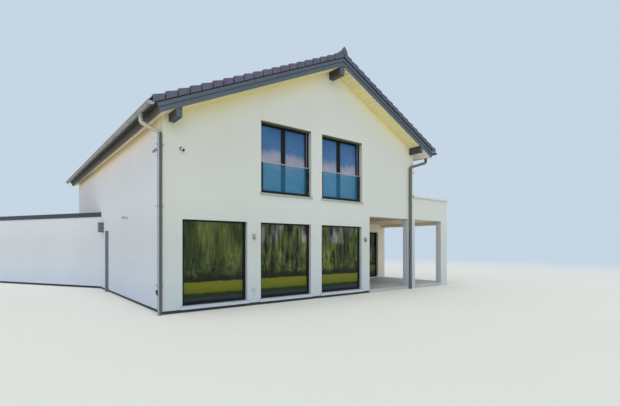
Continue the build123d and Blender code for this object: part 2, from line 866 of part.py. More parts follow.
def camera(foot, out, reach, radius):
    """Small round camera on a round wall plate, drawn out from foot along the wall's normal."""
    wall = Plane(origin=foot, z_dir=out)
    plate = wall * Pos(0, 0, CAMERA_PLATE_T / 2) * Cylinder(CAMERA_PLATE_R, CAMERA_PLATE_T)
    stem = wall * Pos(0, 0, reach / 2) * Cylinder(CAMERA_STEM_R, reach)
    centre = Vector(*foot) + Vector(*out) * reach - Vector(0, 0, CAMERA_DIP)
    body = Pos(centre) * Rot(90, 0, 0) * Cylinder(radius, CAMERA_L)
    return plate + stem + body


def front_camera():
    x, z = FRONT_CAMERA
    return camera((x, 0, z), (0, -1, 0), CAMERA_OUT, CAMERA_R)


def side_camera():
    y, z = SIDE_CAMERA
    return camera((0, y, z), (-1, 0, 0), CAMERA_OUT, CAMERA_R)


def corner_camera():
    y, z = CORNER_CAMERA
    return camera((HOUSE_W, y, z), (1, 0, 0), CORNER_CAMERA_OUT, CORNER_CAMERA_R)


def vent_box():
    """Louvred box on the side wall beside the low wing."""
    y0, y1 = VENT_Y
    z0, z1 = VENT_Z
    made = block(-VENT_OUT, 0, y0, y1, z0, z1)
    for i in range(VENT_SLOTS):
        z = z0 + VENT_FOOT + i * VENT_SLOT_STEP
        made -= block(VENT_RIM - VENT_OUT, -VENT_RIM, y0, y0 + VENT_SLOT_IN, z, z + VENT_SLOT_H)
    return made


def riser_pipe():
    """Capped grey duct that stands against the side wall."""
    y0, y1 = RISER_Y
    e = RISER_EDGE
    section = [(0, y0), (0, y1), (e - RISER_OUT, y1), (-RISER_OUT, y1 - e)]
    section += [(-RISER_OUT, y0 + e), (e - RISER_OUT, y0)]
    duct = plan_profile(section, 0, RISER_TOP_Z)
    o = RISER_CAP_OUT
    z1 = RISER_TOP_Z + RISER_CAP_H
    return duct + block(-RISER_OUT - o, 0, y0 - o, y1 + o, RISER_TOP_Z, z1)


def build():
    purlins = purlin_boxes()
    PARTS["plinth"] = plinth()
    PARTS["ground_floor"] = ground_floor()
    PARTS["front_wall"] = front_wall()
    pockets = purlin_pockets(purlins)
    PARTS["front_gable_wall"] = gable_wall(pockets)
    PARTS["back_wall"] = back_wall(pockets)
    PARTS["left_wall"] = left_wall(pockets)
    PARTS["right_wall"] = right_wall(pockets)
    PARTS["upper_floor"] = upper_floor()
    PARTS["terrace_side_wall"] = terrace_side_wall()
    PARTS["terrace_back_wall"] = terrace_back_wall()
    PARTS["terrace_floor"] = terrace_floor()
    PARTS["corner_column"] = corner_column()
    PARTS["wing_column"] = wing_column()
    PARTS["wing_side_wall"] = wing_side_wall()
    PARTS["wing_rear_wall"] = wing_rear_wall()
    PARTS["wing_parapet"] = wing_parapet()
    PARTS["wing_roof"] = wing_roof()
    PARTS["wing_coping"] = wing_coping()
    PARTS["screen_box"] = screen_box()
    PARTS["purlins"] = group(purlins)
    PARTS["left_roof_deck"] = deck(-1)
    PARTS["right_roof_deck"] = deck(1)
    left = tiles(-1)
    right = tiles(1)
    PARTS["left_roof_tiles"] = left
    PARTS["right_roof_tiles"] = right
    PARTS["ridge_caps"] = ridge_caps(left, right)
    left_front, left_back = front_and_back(lambda: verge_board(-1))
    right_front, right_back = front_and_back(lambda: verge_board(1))
    PARTS["front_verge_boards"] = group([left_front, right_front])
    PARTS["back_verge_boards"] = group([left_back, right_back])
    PARTS["eave_fascias"] = group([eave_fascia(-1), eave_fascia(1)])
    PARTS["gutters"] = group([gutter(-1), gutter(1)])
    PARTS["downpipes"] = group([left_downpipe(), right_downpipe()])
    frames = []
    panes = []
    sills = []
    for centre in GROUND_X:
        frames += front_and_back(lambda: ground_frame(centre))
        panes += front_and_back(lambda: ground_glass(centre))
        sills += front_and_back(lambda: sill(centre, GROUND_SILL_Z))
    for centre in UPPER_X:
        sills += front_and_back(lambda: upper_sill(centre, UPPER_SILL_Z))
    PARTS["ground_window_frames"] = group(frames)
    PARTS["ground_window_glass"] = group(panes)
    PARTS["window_sills"] = group(sills)
    frames = []
    panes = []
    guides = []
    rails = []
    guards = []
    for centre in UPPER_X:
        frames += front_and_back(lambda: upper_frame(centre))
        for i in range(2):
            panes += front_and_back(lambda: upper_glass(centre)[i])
        guides += front_and_back(lambda: blind_guides(centre))
        rails += front_and_back(lambda: balustrade_rail(centre))
        guards += front_and_back(lambda: balustrade_pane(centre))
    PARTS["upper_window_frames"] = group(frames)
    PARTS["upper_window_glass"] = group(panes)
    PARTS["blind_guides"] = group(guides)
    PARTS["balustrade_rails"] = group(rails)
    PARTS["balustrade_panes"] = group(guards)
    PARTS["terrace_door_frame"] = terrace_door_frame()
    PARTS["terrace_door_glass"] = group(terrace_door_glass())
    PARTS["wedge_walls"] = wedge_walls()
    PARTS["wedge_roof"] = wedge_roof()
    PARTS["wedge_fascia"] = wedge_fascia()
    PARTS["wall_lights"] = group([wall_light(x, z) for x, z in LIGHTS])
    PARTS["cameras"] = group([front_camera(), side_camera(), corner_camera()])
    PARTS["vent_box"] = vent_box()
    PARTS["riser_pipe"] = riser_pipe()


def write():
    """Centres the footprint on the origin and writes one file per piece."""
    box = group(PARTS.values()).bounding_box()
    shift = Pos(-(box.min.X + box.max.X) / 2, -(box.min.Y + box.max.Y) / 2, -box.min.Z)
    os.makedirs("parts", exist_ok=True)
    for name, shape in PARTS.items():
        moved = [shift * solid for solid in shape.solids()]
        export_step(moved[0] if len(moved) == 1 else Compound(moved), "parts/" + name + ".step")
    print("shift", shift.position.X, shift.position.Y, shift.position.Z)
    print("size", box.size.X, box.size.Y, box.size.Z)


build()
write()
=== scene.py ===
import json
import math

import bmesh
import bpy
from bpy.props import FloatProperty, FloatVectorProperty, IntProperty, PointerProperty
from bpy.types import Operator, Panel, PropertyGroup
from mathutils import Matrix, Vector


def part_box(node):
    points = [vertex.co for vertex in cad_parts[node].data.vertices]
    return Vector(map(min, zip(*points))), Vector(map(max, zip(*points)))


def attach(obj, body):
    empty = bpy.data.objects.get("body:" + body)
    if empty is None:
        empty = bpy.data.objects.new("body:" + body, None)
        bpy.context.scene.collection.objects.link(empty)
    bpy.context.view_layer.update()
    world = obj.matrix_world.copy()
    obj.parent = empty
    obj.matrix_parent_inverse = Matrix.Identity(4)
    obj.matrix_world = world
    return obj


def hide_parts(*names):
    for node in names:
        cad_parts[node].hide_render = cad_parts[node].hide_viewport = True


bl_info = {
    "name": "Detached house dressing",
    "version": (1, 0, 0),
    "blender": (4, 5, 0),
    "location": "View3D > Sidebar > House",
    "description": "Finishes and small pieces for a modern detached house",
    "category": "Object",
}

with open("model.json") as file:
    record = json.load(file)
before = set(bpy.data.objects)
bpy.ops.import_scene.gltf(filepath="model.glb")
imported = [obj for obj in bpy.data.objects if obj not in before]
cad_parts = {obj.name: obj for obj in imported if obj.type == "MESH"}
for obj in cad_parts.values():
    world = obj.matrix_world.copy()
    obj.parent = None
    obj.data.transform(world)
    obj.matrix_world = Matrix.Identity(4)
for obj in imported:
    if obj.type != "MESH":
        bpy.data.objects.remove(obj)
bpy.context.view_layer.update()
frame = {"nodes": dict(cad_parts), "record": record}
NODES = frame["nodes"]

# The house corner at the front left is the origin that the real sizes are measured from.
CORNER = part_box("front_wall")[0]
HOUSE_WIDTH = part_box("right_wall")[1].x - CORNER.x
HOUSE_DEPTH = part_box("back_wall")[1].y - CORNER.y


# Settings


class StageSettings(PropertyGroup):
    camera_place: FloatVectorProperty(
        name="Camera place", description="Camera from the front left wall corner",
        default=(-2.927, -9.233, 1.6), subtype="XYZ", unit="LENGTH")
    heading: FloatProperty(
        name="Heading", description="Turn of the camera to the right of straight ahead",
        default=math.radians(38.3), subtype="ANGLE")
    lens: FloatProperty(
        name="Lens", description="Focal length for a 36 mm wide sensor, in millimetres",
        default=22.63, min=1.0)
    rise: FloatProperty(
        name="Rise", description="Upward shift of the view, as a share of its width",
        default=0.0694)
    floor_colour: FloatVectorProperty(
        name="Floor", description="Colour of the plain floor",
        default=(0.78, 0.77, 0.72), subtype="COLOR")
    sky_colour: FloatVectorProperty(
        name="Backdrop", description="Colour of the plain backdrop",
        default=(0.56, 0.67, 0.78), subtype="COLOR")


class FinishSettings(PropertyGroup):
    render_colour: FloatVectorProperty(
        name="Render", description="Colour of the wall render",
        default=(0.66, 0.68, 0.645), subtype="COLOR")
    frame_colour: FloatVectorProperty(
        name="Frames", description="Colour of the window and door frames",
        default=(0.009, 0.011, 0.014), subtype="COLOR")
    tile_colour: FloatVectorProperty(
        name="Roof tiles", description="Colour of the roof tiles",
        default=(0.100, 0.094, 0.142), subtype="COLOR")


class RoofSettings(PropertyGroup):
    ridge_x: FloatProperty(
        name="Ridge place", description="Ridge from the left wall face",
        default=5.27, unit="LENGTH")
    ridge_z: FloatProperty(
        name="Ridge height", description="Top of the verge boards at the ridge",
        default=7.351, unit="LENGTH")
    pitch: FloatProperty(
        name="Pitch", description="Rise of the roof for each metre of run",
        default=0.4725)
    left_eave: FloatProperty(
        name="Left eave", description="Upper outer corner of the left roof edge",
        default=-0.285, unit="LENGTH")
    right_eave: FloatProperty(
        name="Right eave", description="Upper outer corner of the right roof edge",
        default=9.94, unit="LENGTH")
    nose_out: FloatProperty(
        name="Tile nose", description="How far the lowest tiles reach past the roof edge",
        default=0.1, unit="LENGTH")
    course: FloatProperty(
        name="Course", description="Run from one tile course to the next",
        default=0.2775, unit="LENGTH")
    tile_columns: IntProperty(
        name="Tile columns", description="Number of tiles in a course", default=46, min=2)
    tile_high: FloatProperty(
        name="Tile nose height", description="Top of a tile at its nose, above the roof edge line",
        default=0.193, unit="LENGTH")
    tile_fall: FloatProperty(
        name="Tile fall", description="How much lower a tile is where the next course starts",
        default=0.038, unit="LENGTH")
    tile_thick: FloatProperty(
        name="Tile thickness", description="Thickness of a tile", default=0.03, unit="LENGTH")
    verge_face: FloatProperty(
        name="Verge tile face", description="Outer face of the verge tiles in front of the wall",
        default=0.546, unit="LENGTH")
    ridge_tiles: IntProperty(
        name="Ridge tiles", description="Number of ridge tiles", default=33, min=1)


# Materials

FINISHES = {}


class Finish:
    """A node material that is built up step by step round one Principled shader."""

    def __init__(self, name, colour, roughness, metallic=0.0):
        self.material = bpy.data.materials.new(name)
        self.material.use_nodes = True
        self.nodes = self.material.node_tree.nodes
        self.links = self.material.node_tree.links
        self.shader = self.nodes["Principled BSDF"]
        self.base = tuple(colour)
        self.set("Base Color", (*colour, 1.0))
        self.set("Roughness", roughness)
        self.set("Metallic", metallic)

    def set(self, socket, value):
        self.shader.inputs[socket].default_value = value

    def add(self, kind, **values):
        """A new node, with its settings and plain inputs given by name."""
        node = self.nodes.new(kind)
        for key, value in values.items():
            if hasattr(node, key):
                setattr(node, key, value)
            else:
                node.inputs[key].default_value = value
        return node

    def place(self, stretch=(1.0, 1.0, 1.0)):
        """Object coordinates, stretched."""
        source = self.add("ShaderNodeTexCoord")
        mapping = self.add("ShaderNodeMapping", Scale=stretch)
        self.links.new(source.outputs["Object"], mapping.inputs["Vector"])
        return mapping.outputs["Vector"]

    def noise(self, scale, detail=3.0, stretch=(1.0, 1.0, 1.0), distort=0.0):
        node = self.add("ShaderNodeTexNoise", Scale=scale, Detail=detail, Distortion=distort)
        self.links.new(self.place(stretch), node.inputs["Vector"])
        return node.outputs["Fac"]

    def ramp(self, source, stops):
        """Colours or greys along a value: (place, colour or grey) pairs."""
        node = self.add("ShaderNodeValToRGB")
        ramp = node.color_ramp
        while len(ramp.elements) < len(stops):
            ramp.elements.new(0.5)
        for element, (where, colour) in zip(ramp.elements, stops):
            element.position = where
            tone = (colour,) * 3 if isinstance(colour, float) else colour
            element.color = (*tone, 1.0)
        self.links.new(source, node.inputs["Fac"])
        return node.outputs["Color"]

    def shades(self, source, amount):
        """Darker and lighter versions of the base colour along a value."""
        dark = tuple(c * (1 - amount) for c in self.base)
        light = tuple(min(1.0, c * (1 + amount)) for c in self.base)
        return self.ramp(source, [(0.3, dark), (0.7, light)])

    def streaks(self, source, low, high=1.0):
        """Greys from low to high over the middle of a noise."""
        return self.ramp(source, [(0.35, low), (0.65, high)])

    def mix(self, factor, first, second, blend="MIX"):
        node = self.add("ShaderNodeMix", data_type="RGBA", blend_type=blend)
        for index, value in ((0, factor), (6, first), (7, second)):
            if isinstance(value, bpy.types.NodeSocket):
                self.links.new(value, node.inputs[index])
            elif index == 0:
                node.inputs[0].default_value = value
            else:
                node.inputs[index].default_value = (*value, 1.0)
        return node.outputs[2]

    def times(self, first, second):
        """Two colours multiplied."""
        return self.mix(1.0, first, second, "MULTIPLY")

    def math(self, operation, *values):
        node = self.add("ShaderNodeMath", operation=operation)
        for socket, value in zip(node.inputs, values):
            if isinstance(value, bpy.types.NodeSocket):
                self.links.new(value, socket)
            else:
                socket.default_value = value
        return node.outputs[0]

    def axes(self):
        """The three object coordinates as separate values."""
        node = self.add("ShaderNodeSeparateXYZ")
        self.links.new(self.place(), node.inputs[0])
        return tuple(node.outputs)

    def heights(self, bands, unit, waviness, lumps=5.0):
        """Colours by height above the ground, with uneven edges between the bands."""
        wave = self.math("MULTIPLY_ADD", self.noise(lumps, 3.0), waviness, self.axes()[2])
        share = self.math("DIVIDE", wave, unit)
        return self.ramp(share, [(high / unit, colour) for high, colour in bands])

    def colour(self, source):
        self.links.new(source, self.shader.inputs["Base Color"])

    def span(self, source, kind="LINEAR", **limits):
        """A value spread from one range over another; the limits are the node's own inputs."""
        node = self.add("ShaderNodeMapRange", interpolation_type=kind)
        for name, value in limits.items():
            node.inputs[name.replace("_", " ").title()].default_value = value
        self.links.new(source, node.inputs["Value"])
        return node.outputs["Result"]

    def rough(self, source, low, high):
        self.links.new(self.span(source, to_min=low, to_max=high), self.shader.inputs["Roughness"])

    def bump(self, source, strength, distance):
        """Unevenness on top of any that is there already."""
        node = self.add("ShaderNodeBump", Strength=strength, Distance=distance)
        self.links.new(source, node.inputs["Height"])
        last = self.shader.inputs["Normal"]
        if last.is_linked:
            self.links.new(last.links[0].from_socket, node.inputs["Normal"])
        self.links.new(node.outputs["Normal"], last)


def rubbed(made, tint=None):
    """Fine rubbed render with faint broad clouds over a tint, with cooler painted shade near the
    ground.
    """
    broad = made.noise(0.55, 4.0, (1.0, 1.0, 0.45))
    fine = made.noise(160.0, 3.0)
    clouds = made.ramp(broad, [(0.3, 0.95), (0.7, 1.0)])
    grain = made.streaks(fine, 0.93)
    # Painted shade: the render turns cooler and darker towards the ground.
    foot = made.heights((
        (0.20, (0.79, 0.85, 0.97)), (0.80, (0.85, 0.91, 0.97)), (1.30, (0.89, 0.91, 0.95)),
        (1.80, (0.90, 0.92, 0.93)), (2.80, 1.0),
    ), 6.0, 0.0)
    uneven = made.times(made.times(clouds, grain), foot)
    made.colour(made.times(uneven, tint or made.base))
    made.bump(fine, 0.35, 0.0015)
    return made.material


def wall_render(name, colour):
    """Rubbed render of one colour, with its cooler painted shade near the ground."""
    return rubbed(Finish(name, colour, 0.93))


# Depth below the roof, in metres, over which the painted light and shade of a wall are spread.
WALL_REACH = 6.0


def wall_with_painted_roof_light(name, stops):
    """Render with painted light and shade whose tone changes with the depth below the boarded
    underside of the roof.
    """
    roof = bpy.context.scene.house_roof
    made = Finish(name, stops[-1][1], 0.93)
    x, _, z = made.axes()
    from_ridge = made.math("ABSOLUTE", made.math("SUBTRACT", x, roof.ridge_x + CORNER.x))
    slope = made.math("MULTIPLY", from_ridge, roof.pitch)
    under = made.math("SUBTRACT", roof.ridge_z - DECK_DROP, slope)
    depth = made.math("DIVIDE", made.math("SUBTRACT", under, z), WALL_REACH)
    return rubbed(made, made.ramp(depth, [(metres / WALL_REACH, tone) for metres, tone in stops]))


def painted(name, colour, roughness=0.45, metallic=0.0, grain=60.0, stretch=(1.0, 1.0, 1.0),
            sheen=0.5):
    """A coated surface with a faint unevenness that may run along one axis."""
    made = Finish(name, colour, roughness, metallic)
    made.set("Specular IOR Level", sheen)
    broad = made.noise(1.3, 3.0)
    fine = made.noise(grain, 2.0, stretch)
    tint = made.shades(broad, 0.06)
    streaks = made.streaks(fine, 0.92)
    made.colour(made.times(tint, streaks))
    made.rough(fine, roughness - 0.07, roughness + 0.09)
    made.bump(fine, 0.06, 0.0006)
    return made.material


def fired_tile(name, colour):
    """Engobed clay with a soft mottle from tile to tile."""
    made = Finish(name, colour, 0.5)
    mottle = made.noise(3.2, 2.0, (3.6, 3.4, 1.0))
    patina = made.noise(0.6, 4.0)
    fine = made.noise(90.0, 3.0)
    tint = made.shades(mottle, 0.16)
    weather = made.ramp(patina, [(0.3, (0.86, 0.86, 0.88)), (0.7, 1.0)])
    made.colour(made.times(tint, weather))
    made.rough(mottle, 0.42, 0.6)
    made.bump(fine, 0.12, 0.0012)
    return made.material


def zinc_sheet(name, colour):
    """Weathered zinc with long drawn streaks and a fine crystal pattern."""
    made = Finish(name, colour, 0.38, 0.55)
    streaks = made.noise(9.0, 4.0, (1.0, 0.12, 1.0))
    crystals = made.add("ShaderNodeTexVoronoi", Scale=70.0)
    made.links.new(made.place(), crystals.inputs["Vector"])
    tint = made.shades(streaks, 0.14)
    spangle = made.ramp(crystals.outputs["Distance"], [(0.0, (0.93, 0.93, 0.94)), (0.5, 1.0)])
    made.colour(made.times(tint, spangle))
    made.rough(streaks, 0.3, 0.48)
    made.bump(streaks, 0.05, 0.002)
    return made.material


def stone(name, colour):
    """Honed slabs with a fleck and a slow change of tone."""
    made = Finish(name, colour, 0.6)
    fleck = made.noise(220.0, 2.0)
    tone = made.noise(2.2, 3.0)
    tint = made.shades(tone, 0.1)
    specks = made.ramp(fleck, [(0.4, (0.8, 0.8, 0.82)), (0.6, 1.0)])
    made.colour(made.times(tint, specks))
    made.bump(fleck, 0.1, 0.0008)
    return made.material


def membrane(name, colour):
    """Mineral surfaced roofing sheet."""
    made = Finish(name, colour, 0.85)
    grit = made.noise(300.0, 2.0)
    stain = made.noise(0.9, 4.0)
    tint = made.shades(stain, 0.14)
    grains = made.streaks(grit, 0.7)
    made.colour(made.times(tint, grains))
    made.bump(grit, 0.3, 0.001)
    return made.material


def glass_base(name, colour, alpha):
    """Clear coated glass: a sharp gloss over its own colour."""
    made = Finish(name, colour, 0.03)
    made.set("IOR", 1.45)
    made.set("Specular IOR Level", 0.25)
    made.set("Alpha", alpha)
    made.bump(made.noise(1.6, 2.0), 0.02, 0.01)
    return made


# Where the panes right of the first window begin, over x from the middle of the house; their painted
# reflection differs.
RIGHT_PANES = (-1.75, -1.65)


def ground_glass_painted_reflection():
    """Dark green panes with a painted garden reflection and a smooth olive band near the foot."""
    made = glass_base("ground_glass_painted_reflection", (0.05, 0.06, 0.02), 0.97)
    # Painted reflection in bands by height: a dark foot, an olive lawn band, a dark shadow line,
    # then foliage.
    bands = made.heights((
        (0.330, (0.024, 0.034, 0.050)), (0.350, (0.014, 0.026, 0.006)),
        (0.430, (0.018, 0.034, 0.005)), (0.455, (0.100, 0.125, 0.008)),
        (0.600, (0.150, 0.155, 0.009)), (0.715, (0.140, 0.165, 0.012)),
        (0.730, (0.006, 0.010, 0.004)), (0.830, (0.012, 0.018, 0.006)),
        (0.960, (0.056, 0.074, 0.022)), (2.300, (0.082, 0.098, 0.030)),
    ), 5.0, 0.05)
    broad = made.noise(1.5, 3.0, (1.3, 1.0, 0.55), 0.3)
    shade = made.ramp(broad, [(0.38, (0.45, 0.50, 0.42)), (0.50, (0.90, 0.92, 0.85)),
                              (0.62, (1.45, 1.45, 1.30))])
    fine = made.noise(7.5, 8.0, (1.4, 1.0, 1.0), 0.8)
    dots = made.ramp(fine, [(0.40, (0.30, 0.34, 0.28)), (0.50, (0.95, 0.98, 0.95)),
                            (0.60, (1.55, 1.60, 1.30))])
    streaks = made.noise(30.0, 4.0, (1.6, 1.0, 0.07))
    drawn = made.ramp(streaks, [(0.38, (0.55, 0.60, 0.52)), (0.62, (1.45, 1.42, 1.30))])
    high_up = made.heights(((1.15, 0.15), (1.75, 0.9)), 2.5, 0.5)
    pattern = made.times(shade, made.mix(high_up, dots, drawn))
    above = made.heights(((0.74, 0.0), (0.84, 1.0)), 2.5, 0.05)
    calm = made.mix(above, (0.95, 0.95, 0.95), pattern)
    patches = made.noise(2.4, 2.0, (1.0, 1.0, 0.35), 0.1)
    greyer = made.ramp(patches, [(0.47, 0.0), (0.55, 0.8)])
    # Right of the first window the painted reflection gets greyer patches high up and dark uprights.
    beyond = made.span(made.axes()[0], from_min=RIGHT_PANES[0], from_max=RIGHT_PANES[1])
    high = made.heights(((1.72, 0.0), (1.80, 1.0)), 2.5, 0.12)
    where = made.times(greyer, made.times(high, beyond))
    gaps = made.noise(5.5, 3.0, (1.5, 1.0, 0.3), 0.4)
    uprights = made.ramp(gaps, [(0.38, (0.16, 0.13, 0.14)), (0.46, (0.8, 0.75, 0.7)),
                                (0.58, (1.15, 1.15, 1.1)), (0.66, (1.9, 1.9, 2.3))])
    beside = made.mix(made.times(above, beyond), (1.0, 1.0, 1.0), uprights)
    tinted = made.times(made.mix(where, bands, (0.175, 0.165, 0.205)), beside)
    made.colour(made.times(tinted, calm))
    return made.material


def upper_glass_painted_reflection():
    """Blue panes with a painted sky reflection, with pale cloudy patches above the guard."""
    made = glass_base("upper_glass_painted_reflection", (0.05, 0.14, 0.30), 0.97)
    bands = made.heights((
        (3.60, (0.170, 0.390, 0.560)), (4.06, (0.180, 0.400, 0.570)),
        (4.20, (0.400, 0.390, 0.470)), (4.42, (0.300, 0.310, 0.420)),
        (4.60, (0.070, 0.168, 0.350)), (5.00, (0.050, 0.150, 0.335)),
    ), 6.0, 0.45, 2.2)
    veil = made.noise(1.8, 4.0, (1.0, 1.0, 1.8), 0.5)
    tone = made.ramp(veil, [(0.35, (0.85, 0.88, 0.92)), (0.7, (1.12, 1.1, 1.06))])
    made.colour(made.times(bands, tone))
    return made.material


def guard_pane():
    """See-through blue green guard glass."""
    made = glass_base("guard_glass", (0.040, 0.220, 0.410), 0.24)
    veil = made.noise(1.2, 3.0, (1.0, 1.0, 0.5), 0.4)
    made.colour(made.shades(veil, 0.08))
    return made.material


def fascia_board_painted_light():
    """Fascias with painted light: dark brown painted shade under the gutters and a paler lower edge.
    """
    made = Finish("fascia_board_painted_light", (0.030, 0.022, 0.017), 0.6)
    made.set("Specular IOR Level", 0.25)
    # Painted shade under each gutter over a paler lower edge; the left fascias lower, the right ones
    # higher.
    bands = made.heights((
        (4.50, (0.165, 0.140, 0.120)), (4.565, (0.140, 0.115, 0.095)),
        (4.575, (0.085, 0.075, 0.052)), (4.64, (0.070, 0.058, 0.040)),
        (4.665, (0.022, 0.016, 0.012)), (4.90, (0.165, 0.140, 0.120)),
        (4.985, (0.085, 0.075, 0.052)), (5.20, (0.022, 0.016, 0.012)),
    ), 6.0, 0.0)
    grain = made.noise(40.0, 2.0, (1.0, 0.08, 1.0))
    streaks = made.streaks(grain, 0.85, 1.1)
    made.colour(made.times(bands, streaks))
    made.bump(grain, 0.1, 0.001)
    return made.material


def banded(name, bands, roughness):
    """A coated surface whose tone changes with the height above the ground, used here for painted
    light.
    """
    made = Finish(name, bands[0][1], roughness)
    tone = made.heights(bands, 6.0, 0.0)
    grain = made.streaks(made.noise(60.0, 2.0), 0.94)
    made.colour(made.times(tone, grain))
    return made.material


def eave_boards():
    """Boards under the eaves in a warm tone of painted bounced light, with painted shade on the left
    side.
    """
    made = Finish("eave_boards", (0.98, 0.90, 0.74), 0.6)
    # Painted shade: the boards on the left side are warmer and darker.
    right = made.math("GREATER_THAN", made.axes()[0], 0.0)
    grain = made.noise(40.0, 2.0, (1.0, 0.1, 1.0))
    streaks = made.streaks(grain, 0.93)
    tone = made.mix(right, (0.84, 0.73, 0.56), made.base)
    made.colour(made.times(tone, streaks))
    return made.material


# Width over which the painted highlight and shade of the left gutter change.
GUTTER_PAINTED_LIGHT_WIDTH = 0.2


def gutter_zinc_painted_light():
    """Zinc gutters with painted light: the left one pale outside and dark towards the wall, the
    right one dark.
    """
    made = Finish("gutter_zinc_painted_light", (0.30, 0.29, 0.25), 0.4, 0.3)
    axis, _ = gutter_sides()[0]
    out = made.math("SUBTRACT", axis[0] + CORNER.x, made.axes()[0])
    across = made.math("MULTIPLY_ADD", out, 1.0 / GUTTER_PAINTED_LIGHT_WIDTH, 0.5)
    # Painted highlight and shade across the left gutter.
    left = made.ramp(across, [(0.36, (0.030, 0.024, 0.018)), (0.50, (0.085, 0.076, 0.064)),
                              (0.62, (0.300, 0.290, 0.260)), (0.85, (0.340, 0.335, 0.320))])
    # The right gutter, higher up, is dark all over as painted shade.
    high = made.heights(((4.90, 0.0), (4.95, 1.0)), 6.0, 0.0)
    streaks = made.noise(9.0, 4.0, (1.0, 0.12, 1.0))
    tone = made.streaks(streaks, 0.86, 1.1)
    made.colour(made.times(made.mix(high, left, (0.115, 0.128, 0.130)), tone))
    made.rough(streaks, 0.34, 0.5)
    return made.material


# Direction across the left pipe from its painted highlight to its painted shade, over x and y.
PIPE_PAINTED_LIGHT_WAY = (0.78, -0.62)


def pipe_zinc_painted_light():
    """Zinc downpipes with a painted highlight on one side and painted shade on the other, pale
    clamps.
    """
    drain = bpy.context.scene.house_drain
    made = Finish("pipe_zinc_painted_light", (0.24, 0.26, 0.27), 0.42, 0.3)
    x, y, z = made.axes()
    left = made.math("LESS_THAN", x, 0.0)
    places = []
    for a, b, corner in zip(LEFT_PIPE, RIGHT_PIPE, CORNER):
        places.append(made.math("MULTIPLY_ADD", left, a - b, b + corner))
    from_x = made.math("SUBTRACT", x, places[0])
    from_y = made.math("SUBTRACT", y, places[1])
    across = made.math("ADD", made.math("MULTIPLY", from_x, PIPE_PAINTED_LIGHT_WAY[0]),
                       made.math("MULTIPLY", from_y, PIPE_PAINTED_LIGHT_WAY[1]))
    side = made.math("MULTIPLY_ADD", across, 0.5 / drain.pipe_radius, 0.5)
    # Painted highlight and shade round the left pipe.
    painted_highlight_and_shade = made.ramp(side, [
        (0.02, (0.20, 0.24, 0.28)), (0.22, (0.19, 0.23, 0.28)), (0.36, (0.37, 0.43, 0.47)),
        (0.50, (0.30, 0.34, 0.37)), (0.62, (0.075, 0.075, 0.068)), (0.92, (0.110, 0.108, 0.098)),
    ])
    clamp = made.math("GREATER_THAN", made.math("ABSOLUTE", from_x), drain.pipe_radius + LUG_OUT)
    # The right pipe is dark all round as painted shade.
    sides = made.mix(left, (0.120, 0.130, 0.110), painted_highlight_and_shade)
    straight = made.mix(clamp, sides, (0.44, 0.46, 0.46))
    start = made.math("MULTIPLY_ADD", left, LEFT_NECK - RIGHT_NECK, RIGHT_NECK)
    neck = made.math("GREATER_THAN", z, start)
    # Painted light on the swan necks: the left one bright, the right one dark.
    painted_neck_light = made.mix(left, (0.150, 0.155, 0.140), (0.50, 0.47, 0.35))
    shown = made.mix(neck, straight, painted_neck_light)
    streaks = made.noise(9.0, 4.0, (1.0, 1.0, 0.1))
    tone = made.streaks(streaks, 0.86, 1.06)
    made.colour(made.times(shown, tone))
    made.rough(streaks, 0.36, 0.5)
    return made.material


WOOD_GRAIN = (1.0, 0.1, 1.0)
# Each painted finish: colour, roughness, metallic share, scale and stretch of its grain, sheen.
PAINTS = {
    "light_metal": ((0.55, 0.58, 0.62), 0.4),
    "anthracite_wood": ((0.040, 0.046, 0.054), 0.5, 0.0, 40.0, WOOD_GRAIN),
    # The gable boards are white boards tinted strong yellow as painted warm bounced light.
    "white_boards": ((0.86, 0.77, 0.40), 0.6, 0.0, 40.0, WOOD_GRAIN),
    "grey_board": ((0.080, 0.105, 0.135), 0.45, 0.0, 40.0, (0.2, 1.0, 1.0)),
    "stainless": ((0.55, 0.56, 0.56), 0.3, 0.8),
    "anthracite_metal": ((0.036, 0.043, 0.060), 0.45, 0.0, 60.0, (1.0, 1.0, 1.0), 0.3),
    "white_fitting": ((0.84, 0.84, 0.84), 0.35),
    "grey_plastic": ((0.16, 0.17, 0.19), 0.5),
    "pale_fitting": ((0.47, 0.50, 0.52), 0.45),
    "slat_grey": ((0.30, 0.32, 0.33), 0.45),
    "taupe_plastic": ((0.36, 0.34, 0.31), 0.5),
    "dark_rail": ((0.018, 0.018, 0.020), 0.6),
    "purlin_end": ((0.075, 0.088, 0.105), 0.5),
    "black_rubber": ((0.005, 0.005, 0.006), 0.7),
    # Olive as painted shade with green bounced light under the upper lintels.
    "lining_painted_shade": ((0.16, 0.145, 0.06), 0.6),
    "coping": ((0.66, 0.67, 0.64), 0.35),
    "lens": ((0.7, 0.7, 0.66), 0.35),
    "black_glass": ((0.006, 0.006, 0.008), 0.08),
}


